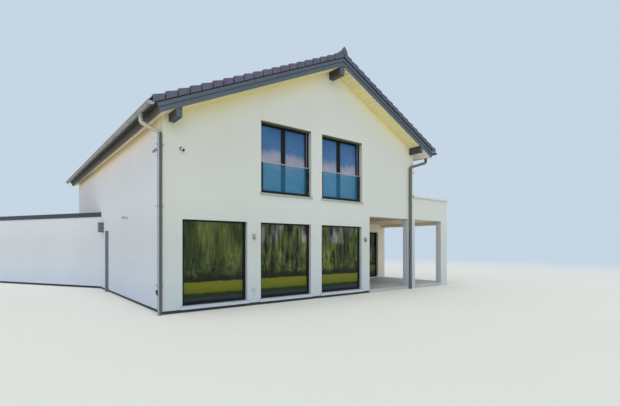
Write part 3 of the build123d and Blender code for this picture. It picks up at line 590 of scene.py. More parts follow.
def paint_nodes():
    """Makes the finishes and gives one to every CAD node."""
    finish = bpy.context.scene.house_finish
    for name, values in PAINTS.items():
        FINISHES[name] = painted(name, *values)
    FINISHES.update({
        "white_render": wall_render("white_render", finish.render_colour),
        # The white ceilings are tinted yellow as painted warm bounced light.
        "white_ceiling": wall_render("white_ceiling", (0.92, 0.75, 0.46)),
        "plinth_grey": wall_render("plinth_grey", (0.050, 0.054, 0.060)),
        "screed": stone("screed", (0.25, 0.24, 0.22)),
        "stone_slabs": stone("stone_slabs", (0.46, 0.455, 0.47)),
        "eave_boards": eave_boards(),
        "roof_tile": fired_tile("roof_tile", finish.tile_colour),
        "zinc": zinc_sheet("zinc", (0.26, 0.265, 0.25)),
        # Painted light on the gutter stop ends: the lower left ones pale, the higher right ones
        # dark.
        "cap_zinc_painted_light": banded("cap_zinc_painted_light", ((4.90, (0.36, 0.37, 0.32)), (4.95, (0.07, 0.09, 0.09))),
                           0.45),
        "pipe_zinc_painted_light": pipe_zinc_painted_light(),
        "anthracite_frame": painted("anthracite_frame", finish.frame_colour, 0.5, sheen=0.2),
        "window_glass": ground_glass_painted_reflection(),
        "guard_glass": guard_pane(),
        "roof_membrane": membrane("roof_membrane", (0.09, 0.09, 0.09)),
        # Painted light on the wall light housings: darker at their foot, paler at their top.
        "dark_fitting": banded("dark_fitting", (
            (1.78, (0.21, 0.215, 0.17)), (1.84, (0.32, 0.34, 0.32)), (1.92, (0.39, 0.41, 0.41))),
            0.4),
    })
    # Painted light on the gables and the back wall: warm bounced light just under the roof, cooler
    # painted shade far below it.
    gable = wall_with_painted_roof_light("gable_render_painted_light", (
        (0.0, (0.95, 0.81, 0.44)), (0.1, (0.86, 0.787, 0.535)), (0.2, (0.785, 0.74, 0.545)),
        (0.4, (0.69, 0.70, 0.60)), (0.9, (0.67, 0.687, 0.625)), (2.4, (0.655, 0.68, 0.64)),
        (6.0, (0.63, 0.665, 0.655)),
    ))
    # Painted light and shade on the side walls: a painted shadow band right under the roof, then
    # warm bounced light, then cooler painted shade lower down.
    side = wall_with_painted_roof_light("side_render_painted_light", (
        (0.0, (0.76, 0.63, 0.43)), (0.12, (0.77, 0.61, 0.38)), (0.18, (0.85, 0.72, 0.52)),
        (0.26, (0.86, 0.76, 0.64)), (0.36, (0.81, 0.76, 0.70)), (0.6, (0.733, 0.724, 0.715)),
        (1.1, (0.675, 0.685, 0.705)), (4.6, (0.645, 0.665, 0.70)),
    ))
    own = {
        "front_wall": gable,
        "front_gable_wall": gable,
        "back_wall": gable,
        "right_wall": side,
        "left_wall": side,
        "wedge_walls": wall_render("wedge_render", (0.66, 0.675, 0.705)),
        # The terrace back wall is lightened and warmed as painted sunlight.
        "terrace_back_wall": wall_render("terrace_wall_painted_light", (0.96, 0.85, 0.72)),
        "eave_fascias": fascia_board_painted_light(),
        "gutters": gutter_zinc_painted_light(),
        "downpipes": FINISHES["pipe_zinc_painted_light"],
        # Painted light: the ground floor sills bluish as lit by the sky, the upper ones greyer and
        # warmer.
        "window_sills": banded("sill_metal_painted_light", (
            (0.60, (0.470, 0.520, 0.600)), (2.50, (0.400, 0.400, 0.340))), 0.42),
        # The corner column render is darker and bluer as painted shade.
        "corner_column": wall_render("column_render_painted_shade", (0.60, 0.63, 0.68)),
        "riser_pipe": painted("duct_grey", (0.125, 0.150, 0.195), 0.5),
        "vent_box": painted("vent_grey", (0.085, 0.092, 0.098), 0.5),
        # The terrace ceiling is dark olive brown as painted shade with warm bounced light.
        "upper_floor": wall_render("ceiling_render_painted_shade", (0.56, 0.40, 0.19)),
        # The screen box is beige as painted sunlight.
        "screen_box": painted("screen_box_painted_sunlight", (0.92, 0.86, 0.70), 0.4),
        "upper_window_glass": upper_glass_painted_reflection(),
    }
    for part in frame["record"]["subparts"]:
        made = own.get(part["node"], FINISHES[part["material_slot"]])
        for slot in NODES[part["node"]].material_slots:
            slot.material = made


class HOUSE_OT_finishes(Operator):
    """Give every CAD node its finish"""
    bl_idname = "house.finishes"
    bl_label = "Finishes"

    def execute(self, context):
        paint_nodes()
        return {"FINISHED"}


# Making pieces


def skin(bm, rings):
    """Faces between rings of points, with a cap at each end; returns the new faces."""
    made = []
    count = len(rings[0])
    for first, second in zip(rings, rings[1:]):
        for i in range(count):
            j = (i + 1) % count
            made.append(bm.faces.new((first[i], first[j], second[j], second[i])))
    made.append(bm.faces.new(rings[0]))
    made.append(bm.faces.new(list(reversed(rings[-1]))))
    return made


def soften(bm, faces, width):
    """Bevels every edge of these faces."""
    edges = list({edge for face in faces for edge in face.edges})
    bmesh.ops.bevel(bm, geom=edges, offset=width, segments=1, profile=0.5, affect="EDGES",
                    clamp_overlap=True)


def bar(bm, low, high, edge=0.0):
    """A box between any two opposite corners, with its edges taken off."""
    (x0, x1), (y0, y1), (z0, z1) = (sorted(pair) for pair in zip(low, high))
    rings = []
    for z in (z0, z1):
        corners = ((x0, y0), (x1, y0), (x1, y1), (x0, y1))
        rings.append([bm.verts.new((x, y, z)) for x, y in corners])
    faces = skin(bm, rings)
    if edge > 0.0:
        soften(bm, faces, edge)


def prism(bm, outline, low, high, edge=0.0):
    """An X-Z outline carried along Y."""
    rings = [[bm.verts.new((x, y, z)) for x, z in outline] for y in (low, high)]
    faces = skin(bm, rings)
    if edge > 0.0:
        soften(bm, faces, edge)


def crossbar(bm, outline, low, high):
    """A Y-Z outline carried along X."""
    skin(bm, [[bm.verts.new((x, y, z)) for y, z in outline] for x in (low, high)])


def turned(bm, profile, centre, axis, steps):
    """A closed round shape: (radius, place along the axis) pairs turned about an axis."""
    axis = Vector(axis).normalized()
    across = axis.orthogonal().normalized()
    other = axis.cross(across)
    centre = Vector(centre)
    rings = []
    for radius, along in profile:
        ring = []
        for i in range(steps):
            angle = 2 * math.pi * i / steps
            reach = across * math.cos(angle) + other * math.sin(angle)
            ring.append(bm.verts.new(centre + axis * along + reach * radius))
        rings.append(ring)
    skin(bm, rings)


def carried(bm, section, path, up):
    """A closed section of (side, up) pairs carried along a path of points."""
    rings = []
    for i, point in enumerate(path):
        before = path[max(i - 1, 0)]
        after = path[min(i + 1, len(path) - 1)]
        heading = (after - before).normalized()
        side = heading.cross(up).normalized()
        rise = side.cross(heading)
        rings.append([bm.verts.new(point + side * a + rise * b) for a, b in section])
    skin(bm, rings)


def ended(bm):
    """The mesh as it was made."""
    mesh = bpy.data.meshes.new("piece")
    bm.to_mesh(mesh)
    bm.free()
    return mesh


def mesh_from(bm):
    """The mesh with its doubled points merged and its faces outwards."""
    bmesh.ops.remove_doubles(bm, verts=bm.verts, dist=0.00002)
    bmesh.ops.recalc_face_normals(bm, faces=bm.faces)
    return ended(bm)


def joined(meshes):
    """Several meshes as one."""
    bm = bmesh.new()
    for mesh in meshes:
        bm.from_mesh(mesh)
        bpy.data.meshes.remove(mesh)
    return ended(bm)


def add_piece(name, mesh, slot, replaced=(), finish=None):
    """Puts a mesh laid out from the house corner on the house, in its slot's finish or another."""
    if isinstance(mesh, bmesh.types.BMesh):
        mesh = mesh_from(mesh)
    mesh.transform(Matrix.Translation((CORNER.x, CORNER.y, 0.0)))
    mesh.name = name
    mesh.materials.clear()
    mesh.materials.append(FINISHES[finish or slot])
    mesh.shade_smooth()
    mesh.set_sharp_from_angle(angle=math.radians(35.0))
    piece = bpy.data.objects.new(name, mesh)
    bpy.context.scene.collection.objects.link(piece)
    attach(piece, "root")
    if replaced:
        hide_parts(*replaced)


# Inputs of the tree that lays the rows: name and kind.
LAID_ROWS_INPUTS = (
    ("Geometry", "Geometry"), ("Piece", "Object"), ("Finish", "Material"),
    ("First place", "Vector"), ("Step along", "Vector"), ("Step up", "Vector"),
    ("Number along", "Int"), ("Number in all", "Int"), ("Unevenness", "Float"), ("Seed", "Int"),
)


def laid_rows_tree():
    """Geometry Nodes that lay copies of one piece in rows, each turned by a hair."""
    tree = bpy.data.node_groups.new("laid_rows", "GeometryNodeTree")
    face = tree.interface
    for label, kind in LAID_ROWS_INPUTS:
        face.new_socket(label, in_out="INPUT", socket_type="NodeSocket" + kind)
    face.new_socket("Geometry", in_out="OUTPUT", socket_type="NodeSocketGeometry")
    link = tree.links.new
    new = tree.nodes.new
    given = new("NodeGroupInput").outputs
    result = new("NodeGroupOutput").inputs

    def maths(operation, *sources, kind="ShaderNodeMath"):
        """One step of arithmetic."""
        node = new(kind)
        node.operation = operation
        for source, socket in zip(sources, node.inputs):
            link(source, socket)
        return node.outputs[0]

    def sum_of(first, second):
        """Two vectors added."""
        return maths("ADD", first, second, kind="ShaderNodeVectorMath")

    def scaled(vector, factor):
        """A vector made longer by a factor."""
        node = new("ShaderNodeVectorMath")
        node.operation = "SCALE"
        link(vector, node.inputs[0])
        link(factor, node.inputs["Scale"])
        return node.outputs[0]

    index = new("GeometryNodeInputIndex").outputs[0]
    column = maths("FLOORED_MODULO", index, given["Number along"])
    row = maths("FLOOR", maths("DIVIDE", index, given["Number along"]))
    steps = sum_of(scaled(given["Step along"], column), scaled(given["Step up"], row))
    place = sum_of(steps, given["First place"])
    points = new("GeometryNodePoints")
    link(given["Number in all"], points.inputs["Count"])
    link(place, points.inputs["Position"])
    piece = new("GeometryNodeObjectInfo")
    link(given["Piece"], piece.inputs["Object"])
    chance = new("FunctionNodeRandomValue")
    chance.data_type = "FLOAT_VECTOR"
    chance.inputs[0].default_value = (-1.0, -1.0, -1.0)
    link(given["Seed"], chance.inputs["Seed"])
    turn = new("FunctionNodeEulerToRotation")
    link(scaled(chance.outputs[0], given["Unevenness"]), turn.inputs[0])
    laid = new("GeometryNodeInstanceOnPoints")
    link(points.outputs[0], laid.inputs["Points"])
    link(piece.outputs["Geometry"], laid.inputs["Instance"])
    link(turn.outputs[0], laid.inputs["Rotation"])
    real = new("GeometryNodeRealizeInstances")
    link(laid.outputs[0], real.inputs[0])
    finish = new("GeometryNodeSetMaterial")
    link(real.outputs[0], finish.inputs["Geometry"])
    link(given["Finish"], finish.inputs["Material"])
    link(finish.outputs[0], result[0])
    return tree


def laid_rows(template, finish, first, along, across, climb=(0.0, 0.0, 0.0), rows=1,
              unevenness=0.0):
    """Copies of a template at first + along * i + climb * j, as one mesh."""
    tree = bpy.data.node_groups.get("laid_rows") or laid_rows_tree()
    mesh = mesh_from(template)
    piece = bpy.data.objects.new("template", mesh)
    holder = bpy.data.objects.new("rows", bpy.data.meshes.new("rows"))
    for item in (piece, holder):
        bpy.context.scene.collection.objects.link(item)
    modifier = holder.modifiers.new("rows", "NODES")
    modifier.node_group = tree
    values = {"Piece": piece, "Finish": FINISHES[finish], "First place": tuple(first),
              "Step along": tuple(along), "Step up": tuple(climb), "Number along": across,
              "Number in all": across * rows, "Unevenness": unevenness, "Seed": 1}
    for socket in tree.interface.items_tree:
        if socket.name in values:
            modifier[socket.identifier] = values[socket.name]
    graph = bpy.context.evaluated_depsgraph_get()
    made = bpy.data.meshes.new_from_object(holder.evaluated_get(graph))
    holder.modifiers.remove(modifier)
    for item in (piece, holder):
        spare = item.data
        bpy.data.objects.remove(item)
        bpy.data.meshes.remove(spare)
    return made


# Shapes that several pieces share


def ring(bm, low, high, width, edge=0.0):
    """A mitred rectangular ring in the X-Z plane, its width to the inside."""
    x0, y0, z0 = low
    x1, y1, z1 = high
    corners = ((x0, z0, 1, 1), (x1, z0, -1, 1), (x1, z1, -1, -1), (x0, z1, 1, -1))
    sections = []
    for x, z, across, up in corners:
        inner_x = x + across * width
        inner_z = z + up * width
        points = ((x, y0, z), (inner_x, y0, inner_z), (inner_x, y1, inner_z), (x, y1, z))
        sections.append([bm.verts.new(point) for point in points])
    made = []
    for first, second in zip(sections, sections[1:] + sections[:1]):
        for i in range(4):
            j = (i + 1) % 4
            made.append(bm.faces.new((first[i], first[j], second[j], second[i])))
    if edge > 0.0:
        soften(bm, made, edge)


def and_back(mesh):
    """The same shapes at the front gable and mirrored at the back gable."""
    bm = bmesh.new()
    bm.from_mesh(mesh)
    for vert in bm.verts:
        vert.co.y = HOUSE_DEPTH - vert.co.y
    bmesh.ops.reverse_faces(bm, faces=bm.faces)
    return joined([mesh, ended(bm)])


def arc(centre, radius, start, end, steps):
    """Points of an arc in the X-Z plane, angles in degrees."""
    points = []
    for i in range(steps + 1):
        angle = math.radians(start + (end - start) * i / steps)
        points.append((centre[0] + radius * math.cos(angle), centre[1] + radius * math.sin(angle)))
    return points


def strap(centre, inner, outer, start, end, steps):
    """Outline of a curved strap in the X-Z plane."""
    return arc(centre, outer, start, end, steps) + arc(centre, inner, end, start, steps)


def screw_head(radius, high, axis):
    """A small round head with a chamfer, its foot at the origin."""
    bm = bmesh.new()
    turned(bm, [(radius, 0.0), (radius, high * 0.6), (radius * 0.7, high)], (0, 0, 0), axis, 8)
    return bm


def sprinkle(template, places):
    """Copies of one small piece at irregular places, as one mesh."""
    base = mesh_from(template)
    copies = []
    for place in places:
        copy = base.copy()
        copy.transform(Matrix.Translation(place))
        copies.append(copy)
    bpy.data.meshes.remove(base)
    return joined(copies)


# Roof tiles and ridge

# Top of a flat interlocking tile from side to side: share of its width, and height in metres.
TILE_WAVE = (
    (0.0, -0.006), (0.05, 0.0), (0.13, 0.003), (0.20, -0.001), (0.26, -0.011), (0.32, -0.015),
    (0.52, -0.016), (0.70, -0.015), (0.76, -0.010), (0.82, -0.002), (0.90, 0.001), (0.96, -0.002),
    (1.0, -0.006),
)
TILE_LAP = 0.045
NOSE_ROUND = 0.007
FLAP_T = 0.02
FLAP_FOOT = 0.02
FLAP_GAP = 0.011
FLAP_OUT = 0.003
FLAP_EDGE = 0.004
TILE_UNEVEN = 0.0035
RIDGE_LIFT = 0.118
RIDGE_FOOT = -0.059
RIDGE_T = 0.014
RIDGE_LAP = 0.03
RIDGE_STEPS = 14
END_PLATE_T = 0.012


def top_line(x):
    """Height of the roof edge line over x."""
    roof = bpy.context.scene.house_roof
    return roof.ridge_z - abs(x - roof.ridge_x) * roof.pitch


def tile_body(bm, length, width, up):
    """One closed interlocking tile with its nose at the origin, laid up the slope."""
    roof = bpy.context.scene.house_roof
    fall = roof.tile_fall * length / roof.course
    loop = [(0.0, -roof.tile_thick), (0.0, -NOSE_ROUND), (NOSE_ROUND, 0.0), (length, -fall),
            (length, -fall - roof.tile_thick)]
    rings = []
    for share, high in TILE_WAVE:
        ring = [bm.verts.new((up * run, share * width, run * roof.pitch + drop + high))
                for run, drop in loop]
        rings.append(ring)
    skin(bm, rings)


def tile_flap(bm, run, y0, up):
    """The side flap of a verge tile, which hangs over the verge board."""
    roof = bpy.context.scene.house_roof
    foot = FLAP_FOOT - roof.tile_high
    fall = roof.tile_fall * min(run, roof.course) / roof.course
    last = run - FLAP_GAP
    outline = [(FLAP_GAP, foot), (last, foot), (last, -fall - 0.001), (FLAP_GAP, 0.001)]
    rings = []
    out = FLAP_OUT if y0 > FLAP_T else -FLAP_OUT
    for y in (y0 + out, y0 + FLAP_T + out):
        ring = [bm.verts.new((up * along, y, along * roof.pitch + drop)) for along, drop in outline]
        rings.append(ring)
    made = skin(bm, rings)
    soften(bm, made, FLAP_EDGE)


def tile_template(length, width, up, flap=None, flap_run=0.0):
    """A tile as a mesh; flap is None, or the place of the side flap across the tile."""
    bm = bmesh.new()
    tile_body(bm, length, width, up)
    if flap is not None:
        tile_flap(bm, flap_run, flap, up)
    return bm


def slope_tiles(side):
    """All tiles of one slope as one mesh: field, verge columns and the cut top course."""
    roof = bpy.context.scene.house_roof
    up = -side
    nose = (roof.left_eave if side < 0 else roof.right_eave) + side * roof.nose_out
    run = abs(roof.ridge_x - nose)
    full = int(run / roof.course)
    rest = run - full * roof.course
    front = -roof.verge_face
    width = (HOUSE_DEPTH + 2 * roof.verge_face) / roof.tile_columns
    first = Vector((nose, front, top_line(nose) + roof.tile_high))
    along = Vector((0.0, width, 0.0))
    climb = Vector((up * roof.course, 0.0, roof.course * roof.pitch))
    length = roof.course + TILE_LAP
    inner = roof.tile_columns - 2
    last = roof.tile_columns - 1
    made = [
        laid_rows(tile_template(length, width, up), "roof_tile", first + along, along, inner,
                  climb, full, TILE_UNEVEN),
        laid_rows(tile_template(rest - 0.004, width, up), "roof_tile", first + climb * full,
                  along, roof.tile_columns),
    ]
    for column, flap in ((0, 0.0), (last, width - FLAP_T)):
        start = first + along * column
        body = tile_template(length, width, up, flap, roof.course)
        made.append(laid_rows(body, "roof_tile", start, along, 1, climb, full - 1))
        top = tile_template(length, width, up, flap, roof.course + rest)
        made.append(laid_rows(top, "roof_tile", start + climb * (full - 1), along, 1))
    return joined(made)


def ridge_tile(length):
    """One half round ridge tile with a collar at its wide end."""
    bm = bmesh.new()
    stations = ((0.0, 0.13), (0.006, 0.134), (0.044, 0.134), (0.05, 0.128), (length, 0.121))
    rings = []
    for y, radius in stations:
        bore = radius - RIDGE_T
        line = [(-radius, RIDGE_FOOT), *arc((0, 0), radius, 180, 0, RIDGE_STEPS)]
        line += [(radius, RIDGE_FOOT), (bore, RIDGE_FOOT)]
        line += [*arc((0, 0), bore, 0, 180, RIDGE_STEPS), (-bore, RIDGE_FOOT)]
        rings.append([bm.verts.new((x, y, z)) for x, z in line])
    skin(bm, rings)
    return bm


def end_plate(bm, y0, y1):
    """Pointed plate that closes the row of ridge tiles."""
    roof = bpy.context.scene.house_roof
    side = [(0.140, 0.099), (0.136, 0.130), (0.124, 0.167), (0.106, 0.205), (0.084, 0.240),
            (0.058, 0.276), (0.030, 0.308)]
    outline = side + [(0.0, 0.333)] + [(-x, z) for x, z in reversed(side)]
    place = [(roof.ridge_x + x, roof.ridge_z + z) for x, z in outline]
    prism(bm, place, y0, y1, 0.003)


def ridge_clips():
    """Metal clips that hold the ridge tiles at their joints."""
    roof = bpy.context.scene.house_roof
    clip = bmesh.new()
    radius = 0.1345
    prism(clip, strap((0, 0), radius, radius + 0.0022, 83, 97, 3), -0.006, 0.056)
    length = (HOUSE_DEPTH + 2 * roof.verge_face) / roof.ridge_tiles
    first = (roof.ridge_x, -roof.verge_face + length, roof.ridge_z + RIDGE_LIFT)
    return laid_rows(clip, "stainless", first, (0.0, length, 0.0), roof.ridge_tiles - 1)


class HOUSE_OT_roof_tiles(Operator):
    """Lay the interlocking tiles with their verge flaps on both slopes"""
    bl_idname = "house.roof_tiles"
    bl_label = "Roof tiles"

    def execute(self, context):
        for side, word in ((-1, "left"), (1, "right")):
            add_piece(word + "_tiles", slope_tiles(side), "roof_tile", [word + "_roof_tiles"])
        return {"FINISHED"}


class HOUSE_OT_ridge(Operator):
    """Cover the ridge with half round tiles and pointed end plates"""
    bl_idname = "house.ridge"
    bl_label = "Ridge"

    def execute(self, context):
        roof = context.scene.house_roof
        front = -roof.verge_face
        length = (HOUSE_DEPTH + 2 * roof.verge_face) / roof.ridge_tiles
        first = (roof.ridge_x, front, roof.ridge_z + RIDGE_LIFT)
        step = Vector((0.0, length, 0.0))
        inner = roof.ridge_tiles - 1
        tiles = laid_rows(ridge_tile(length + RIDGE_LAP), "roof_tile", first, step, inner)
        last = Vector(first) + step * inner
        end_tile = laid_rows(ridge_tile(length - 0.001), "roof_tile", last, step, 1)
        bm = bmesh.new()
        end_plate(bm, front - END_PLATE_T, front)
        end_plate(bm, HOUSE_DEPTH - front, HOUSE_DEPTH - front + END_PLATE_T)
        tiles = joined([tiles, end_tile, mesh_from(bm)])
        add_piece("ridge_tiles", tiles, "roof_tile", ["ridge_caps"])
        return {"FINISHED"}


class HOUSE_OT_ridge_clips(Operator):
    """Clip the ridge tiles at their joints"""
    bl_idname = "house.ridge_clips"
    bl_label = "Ridge clips"

    def execute(self, context):
        add_piece("ridge_clips", ridge_clips(), "stainless")
        return {"FINISHED"}


# Roof edge


VERGE_RAIL_Y = (-0.484, -0.452)
VERGE_RAIL_HIGH = 0.135
BOARD_RUN = 0.15
BOARD_JOINT = 0.011
BOARD_T = 0.010
OVERHANG = 0.47
DECK_DROP = 0.228
COMB_IN = 0.03
COMB_HIGH = 0.03
COMB_REACH = 0.45
TOOTH_STEP = 0.03
PURLIN_CLEAR = 0.003
SCREW_STEP = 0.6


def under_line(x):
    """Height of the boarded underside of the roof over x."""
    return top_line(x) - DECK_DROP


def purlin_places():
    """Left face, right face and depth of the two eave purlins and the ridge purlin."""
    ridge = bpy.context.scene.house_roof.ridge_x
    return ((0.14, 0.28, 0.215), (HOUSE_WIDTH - 0.245, HOUSE_WIDTH - 0.105, 0.215),
            (ridge - 0.135, ridge + 0.045, 0.293))


def verge_rails():
    """Rails that close the gap under the verge tiles, near black as painted shadow in that gap."""
    roof = bpy.context.scene.house_roof
    bm = bmesh.new()
    for eave in (roof.left_eave, roof.right_eave):
        way = 1 if eave < roof.ridge_x else -1
        end = roof.ridge_x - way * 0.004
        outline = [(eave, top_line(eave) + 0.001), (end, top_line(end) + 0.001),
                   (end, top_line(end) + VERGE_RAIL_HIGH), (eave, top_line(eave) + VERGE_RAIL_HIGH)]
        prism(bm, outline, *VERGE_RAIL_Y)
    return and_back(mesh_from(bm))


def eave_combs():
    """Rows of teeth that close the gap between the roof edge and the lowest tiles."""
    roof = bpy.context.scene.house_roof
    meshes = []
    for eave, side in ((roof.left_eave, -1), (roof.right_eave, 1)):
        x = eave - side * COMB_IN
        low = top_line(x) + 0.002
        top = low + COMB_HIGH
        bm = bmesh.new()
        bar(bm, (x - 0.012, -COMB_REACH, low), (x + 0.012, HOUSE_DEPTH + COMB_REACH, top), 0.003)
        rail = mesh_from(bm)
        tooth = bmesh.new()
        bar(tooth, (-0.002, 0.0, 0.0), (0.002, 0.009, 0.1))
        count = int((HOUSE_DEPTH + 2 * COMB_REACH) / TOOTH_STEP)
        first = (x, -COMB_REACH, top)
        teeth = laid_rows(tooth, "dark_rail", first, (0.0, TOOTH_STEP, 0.0), count)
        meshes += [rail, teeth]
    return joined(meshes)


def board_rows(low_x, high_x, gaps):
    """Spans of the soffit boards over x, kept clear of the purlins."""
    spans = []
    x = low_x
    while x < high_x - 0.02:
        end = min(x + BOARD_RUN - BOARD_JOINT, high_x)
        pieces = [(x, end)]
        for gap_low, gap_high in gaps:
            kept = []
            for a, b in pieces:
                if b <= gap_low or a >= gap_high:
                    kept.append((a, b))
                    continue
                if a < gap_low:
                    kept.append((a, gap_low))
                if b > gap_high:
                    kept.append((gap_high, b))
            pieces = kept
        spans += [(a, b) for a, b in pieces if b - a > 0.012]
        x += BOARD_RUN
    return spans


def soffit_boards():
    """Narrow boards with open joints under the overhangs: those of the gables and of the eaves."""
    roof = bpy.context.scene.house_roof
    gaps = [(x0 - PURLIN_CLEAR, x1 + PURLIN_CLEAR) for x0, x1, _ in purlin_places()]
    gaps += [(-0.002, 0.002), (HOUSE_WIDTH - 0.002, HOUSE_WIDTH + 0.002)]
    gable = bmesh.new()
    eave = bmesh.new()
    for low_x, high_x in ((roof.left_eave + 0.125, roof.ridge_x - 0.004),
                          (roof.ridge_x + 0.004, roof.right_eave - 0.125)):
        for a, b in board_rows(low_x, high_x, gaps):
            outline = [(a, under_line(a) - BOARD_T), (b, under_line(b) - BOARD_T),
                       (b, under_line(b) - 0.0003), (a, under_line(a) - 0.0003)]
            if b < 0.0 or a > HOUSE_WIDTH:
                prism(eave, outline, 0.001 - OVERHANG, HOUSE_DEPTH + OVERHANG - 0.001)
            else:
                prism(gable, outline, 0.001 - OVERHANG, -0.002)
                prism(gable, outline, HOUSE_DEPTH + 0.002, HOUSE_DEPTH + OVERHANG - 0.001)
    return gable, eave


def purlin_ends():
    """Painted cover plates on the six purlin ends."""
    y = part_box("purlins")[0].y - CORNER.y
    bm = bmesh.new()
    ridge = bpy.context.scene.house_roof.ridge_x
    for x0, x1, drop in purlin_places():
        middle = ridge if x0 < ridge < x1 else (x0 + x1) / 2
        foot = under_line(middle) - drop
        top = min(under_line(x0), under_line(x1)) - 0.004
        bar(bm, (x0 + 0.004, y - 0.004, foot + 0.004), (x1 - 0.004, y - 0.0005, top), 0.0015)
    return and_back(mesh_from(bm))


def verge_screws():
    """Pairs of screw heads along the verge boards."""
    roof = bpy.context.scene.house_roof
    meshes = []
    for eave, way in ((roof.left_eave, 1), (roof.right_eave, -1)):
        run = abs(roof.ridge_x - eave)
        count = int((run - 0.2) / SCREW_STEP) + 1
        for drop, y in ((0.05, -0.52), (0.17, -0.496)):
            x = eave + way * 0.12
            first = (x, y - 0.0002, top_line(x) - drop)
            along = (way * SCREW_STEP, 0.0, SCREW_STEP * roof.pitch)
            screw = screw_head(0.006, 0.003, (0, -1, 0))
            meshes.append(laid_rows(screw, "stainless", first, along, count))
    return and_back(joined(meshes))


class HOUSE_OT_roof_edge(Operator):
    """Finish the overhangs: rails, combs, soffit boards, purlin ends and screws"""
    bl_idname = "house.roof_edge"
    bl_label = "Roof edge"

    def execute(self, context):
        # The verge rails are near black as painted shadow under the verge tiles.
        add_piece("verge_rails", verge_rails(), "anthracite_wood", finish="dark_rail")
        add_piece("eave_combs", eave_combs(), "anthracite_frame", finish="dark_rail")
        gable, eave = soffit_boards()
        add_piece("gable_boards", gable, "white_boards")
        add_piece("eave_boards", eave, "white_boards", finish="eave_boards")
        add_piece("purlin_ends", purlin_ends(), "anthracite_wood", finish="purlin_end")
        add_piece("verge_screws", verge_screws(), "stainless")
        return {"FINISHED"}


# Gutters and downpipes


class DrainSettings(PropertyGroup):
    left_axis: FloatVectorProperty(
        name="Left gutter", description="Centre of the left gutter over x and z",
        default=(-0.409, 4.7343), size=2, unit="LENGTH")
    right_axis: FloatVectorProperty(
        name="Right gutter", description="Centre of the right gutter over x and z",
        default=(10.064, 5.1524), size=2, unit="LENGTH")
    gutter_radius: FloatProperty(
        name="Gutter radius", description="Outer radius of the gutters",
        default=0.076, unit="LENGTH")
    pipe_radius: FloatProperty(
        name="Pipe radius", description="Outer radius of the downpipes",
        default=0.05, unit="LENGTH")
    bracket_step: FloatProperty(
        name="Bracket spacing", description="Distance from one gutter bracket to the next",
        default=0.8, unit="LENGTH")


GUTTER_ENDS = (-0.532, HOUSE_DEPTH + 0.532)
LEFT_PIPE = (-0.07, -0.01)
RIGHT_PIPE = (9.125, -0.08)
# Heights above the ground where the swan necks begin.
LEFT_NECK = 4.227
RIGHT_NECK = 4.547
SOCKET_HEIGHTS = ((0.62, 2.18, 3.62), (0.06, 1.62, 3.38))
CLAMP_HEIGHTS = ((0.7, 2.52, 3.95), (1.4, 3.45, 4.3))
# How far outside the pipe its pale lugs begin.
LUG_OUT = 0.008
OUTLET_Y = (0.27, -0.08)
FIRST_BRACKET = 0.16
BRACKET_HALF = 0.015
SEAM_HALF = 0.014
SEAM_PLACES = (4.4, 9.0)


def gutter_sides():
    """Centre and side of each gutter."""
    drain = bpy.context.scene.house_drain
    return ((drain.left_axis, -1), (drain.right_axis, 1))


def gutter_brackets():
    """Straps under the gutters, hooked over the front bead."""
    drain = bpy.context.scene.house_drain
    inner = drain.gutter_radius + 0.0006
    run = GUTTER_ENDS[1] - GUTTER_ENDS[0] - 2 * FIRST_BRACKET
    count = int(run / drain.bracket_step) + 1
    meshes = []
    for axis, side in gutter_sides():
        bm = bmesh.new()
        start, end = (192, 356) if side < 0 else (184, 348)
        prism(bm, strap((0, 0), inner, inner + 0.005, start, end, 14),
              -BRACKET_HALF, BRACKET_HALF)
        front = math.radians(192 if side < 0 else 348)
        hook = (inner * math.cos(front), inner * math.sin(front))
        prism(bm, strap((hook[0] - side * 0.006, hook[1] + 0.012), 0.0125, 0.0165,
                        90 - side * 110, 90 - side * 30, 5), -BRACKET_HALF, BRACKET_HALF)
        first = (axis[0], GUTTER_ENDS[0] + FIRST_BRACKET, axis[1])
        meshes.append(laid_rows(bm, "zinc", first, (0.0, drain.bracket_step, 0.0), count))
    return joined(meshes)


def gutter_seams():
    """Soldered laps between the gutter lengths."""
    drain = bpy.context.scene.house_drain
    bm = bmesh.new()
    radius = drain.gutter_radius
    for axis, _ in gutter_sides():
        outline = strap(tuple(axis), radius + 0.0005, radius + 0.004, 181, 359, 18)
        for place in SEAM_PLACES:
            y = GUTTER_ENDS[0] + place
            prism(bm, outline, y - SEAM_HALF, y + SEAM_HALF)
    return bm


def gutter_caps():
    """Half round stop ends of the gutters."""
    radius = bpy.context.scene.house_drain.gutter_radius
    bm = bmesh.new()
    for axis, _ in gutter_sides():
        plate = arc(tuple(axis), radius + 0.001, 180, 360, 20)
        rim = strap(tuple(axis), radius - 0.006, radius + 0.003, 180, 360, 20)
        for y, way in ((GUTTER_ENDS[0], -1), (GUTTER_ENDS[1], 1)):
            prism(bm, plate, *sorted((y, y + way * 0.003)))
            prism(bm, rim, *sorted((y - way * 0.012, y + way * 0.006)))
    return bm


def eave_aprons():
    """Metal sheets that lead the water from under the tiles into the gutters."""
    roof = bpy.context.scene.house_roof
    bm = bmesh.new()
    for (axis, side), eave in zip(gutter_sides(), (roof.left_eave, roof.right_eave)):
        back = eave - side * 0.08
        lip = (axis[0] - side * 0.028, axis[1] - 0.002)
        line = [(back, top_line(back) + 0.004), (eave + side * 0.004, top_line(eave) + 0.004), lip]
        upper = [(x, z + 0.0016) for x, z in reversed(line)]
        prism(bm, line + upper, GUTTER_ENDS[0] + 0.06, GUTTER_ENDS[1] - 0.06)
    return bm


def pipe_sleeve(bm, place, z, radius, high):
    """A socket round a downpipe with a rolled rim at its top."""
    profile = [(radius, 0.0), (radius, high - 0.014), (radius + 0.004, high - 0.012),
               (radius + 0.004, high - 0.003), (radius + 0.001, high)]
    turned(bm, profile, (place[0], place[1], z), (0, 0, 1), 28)


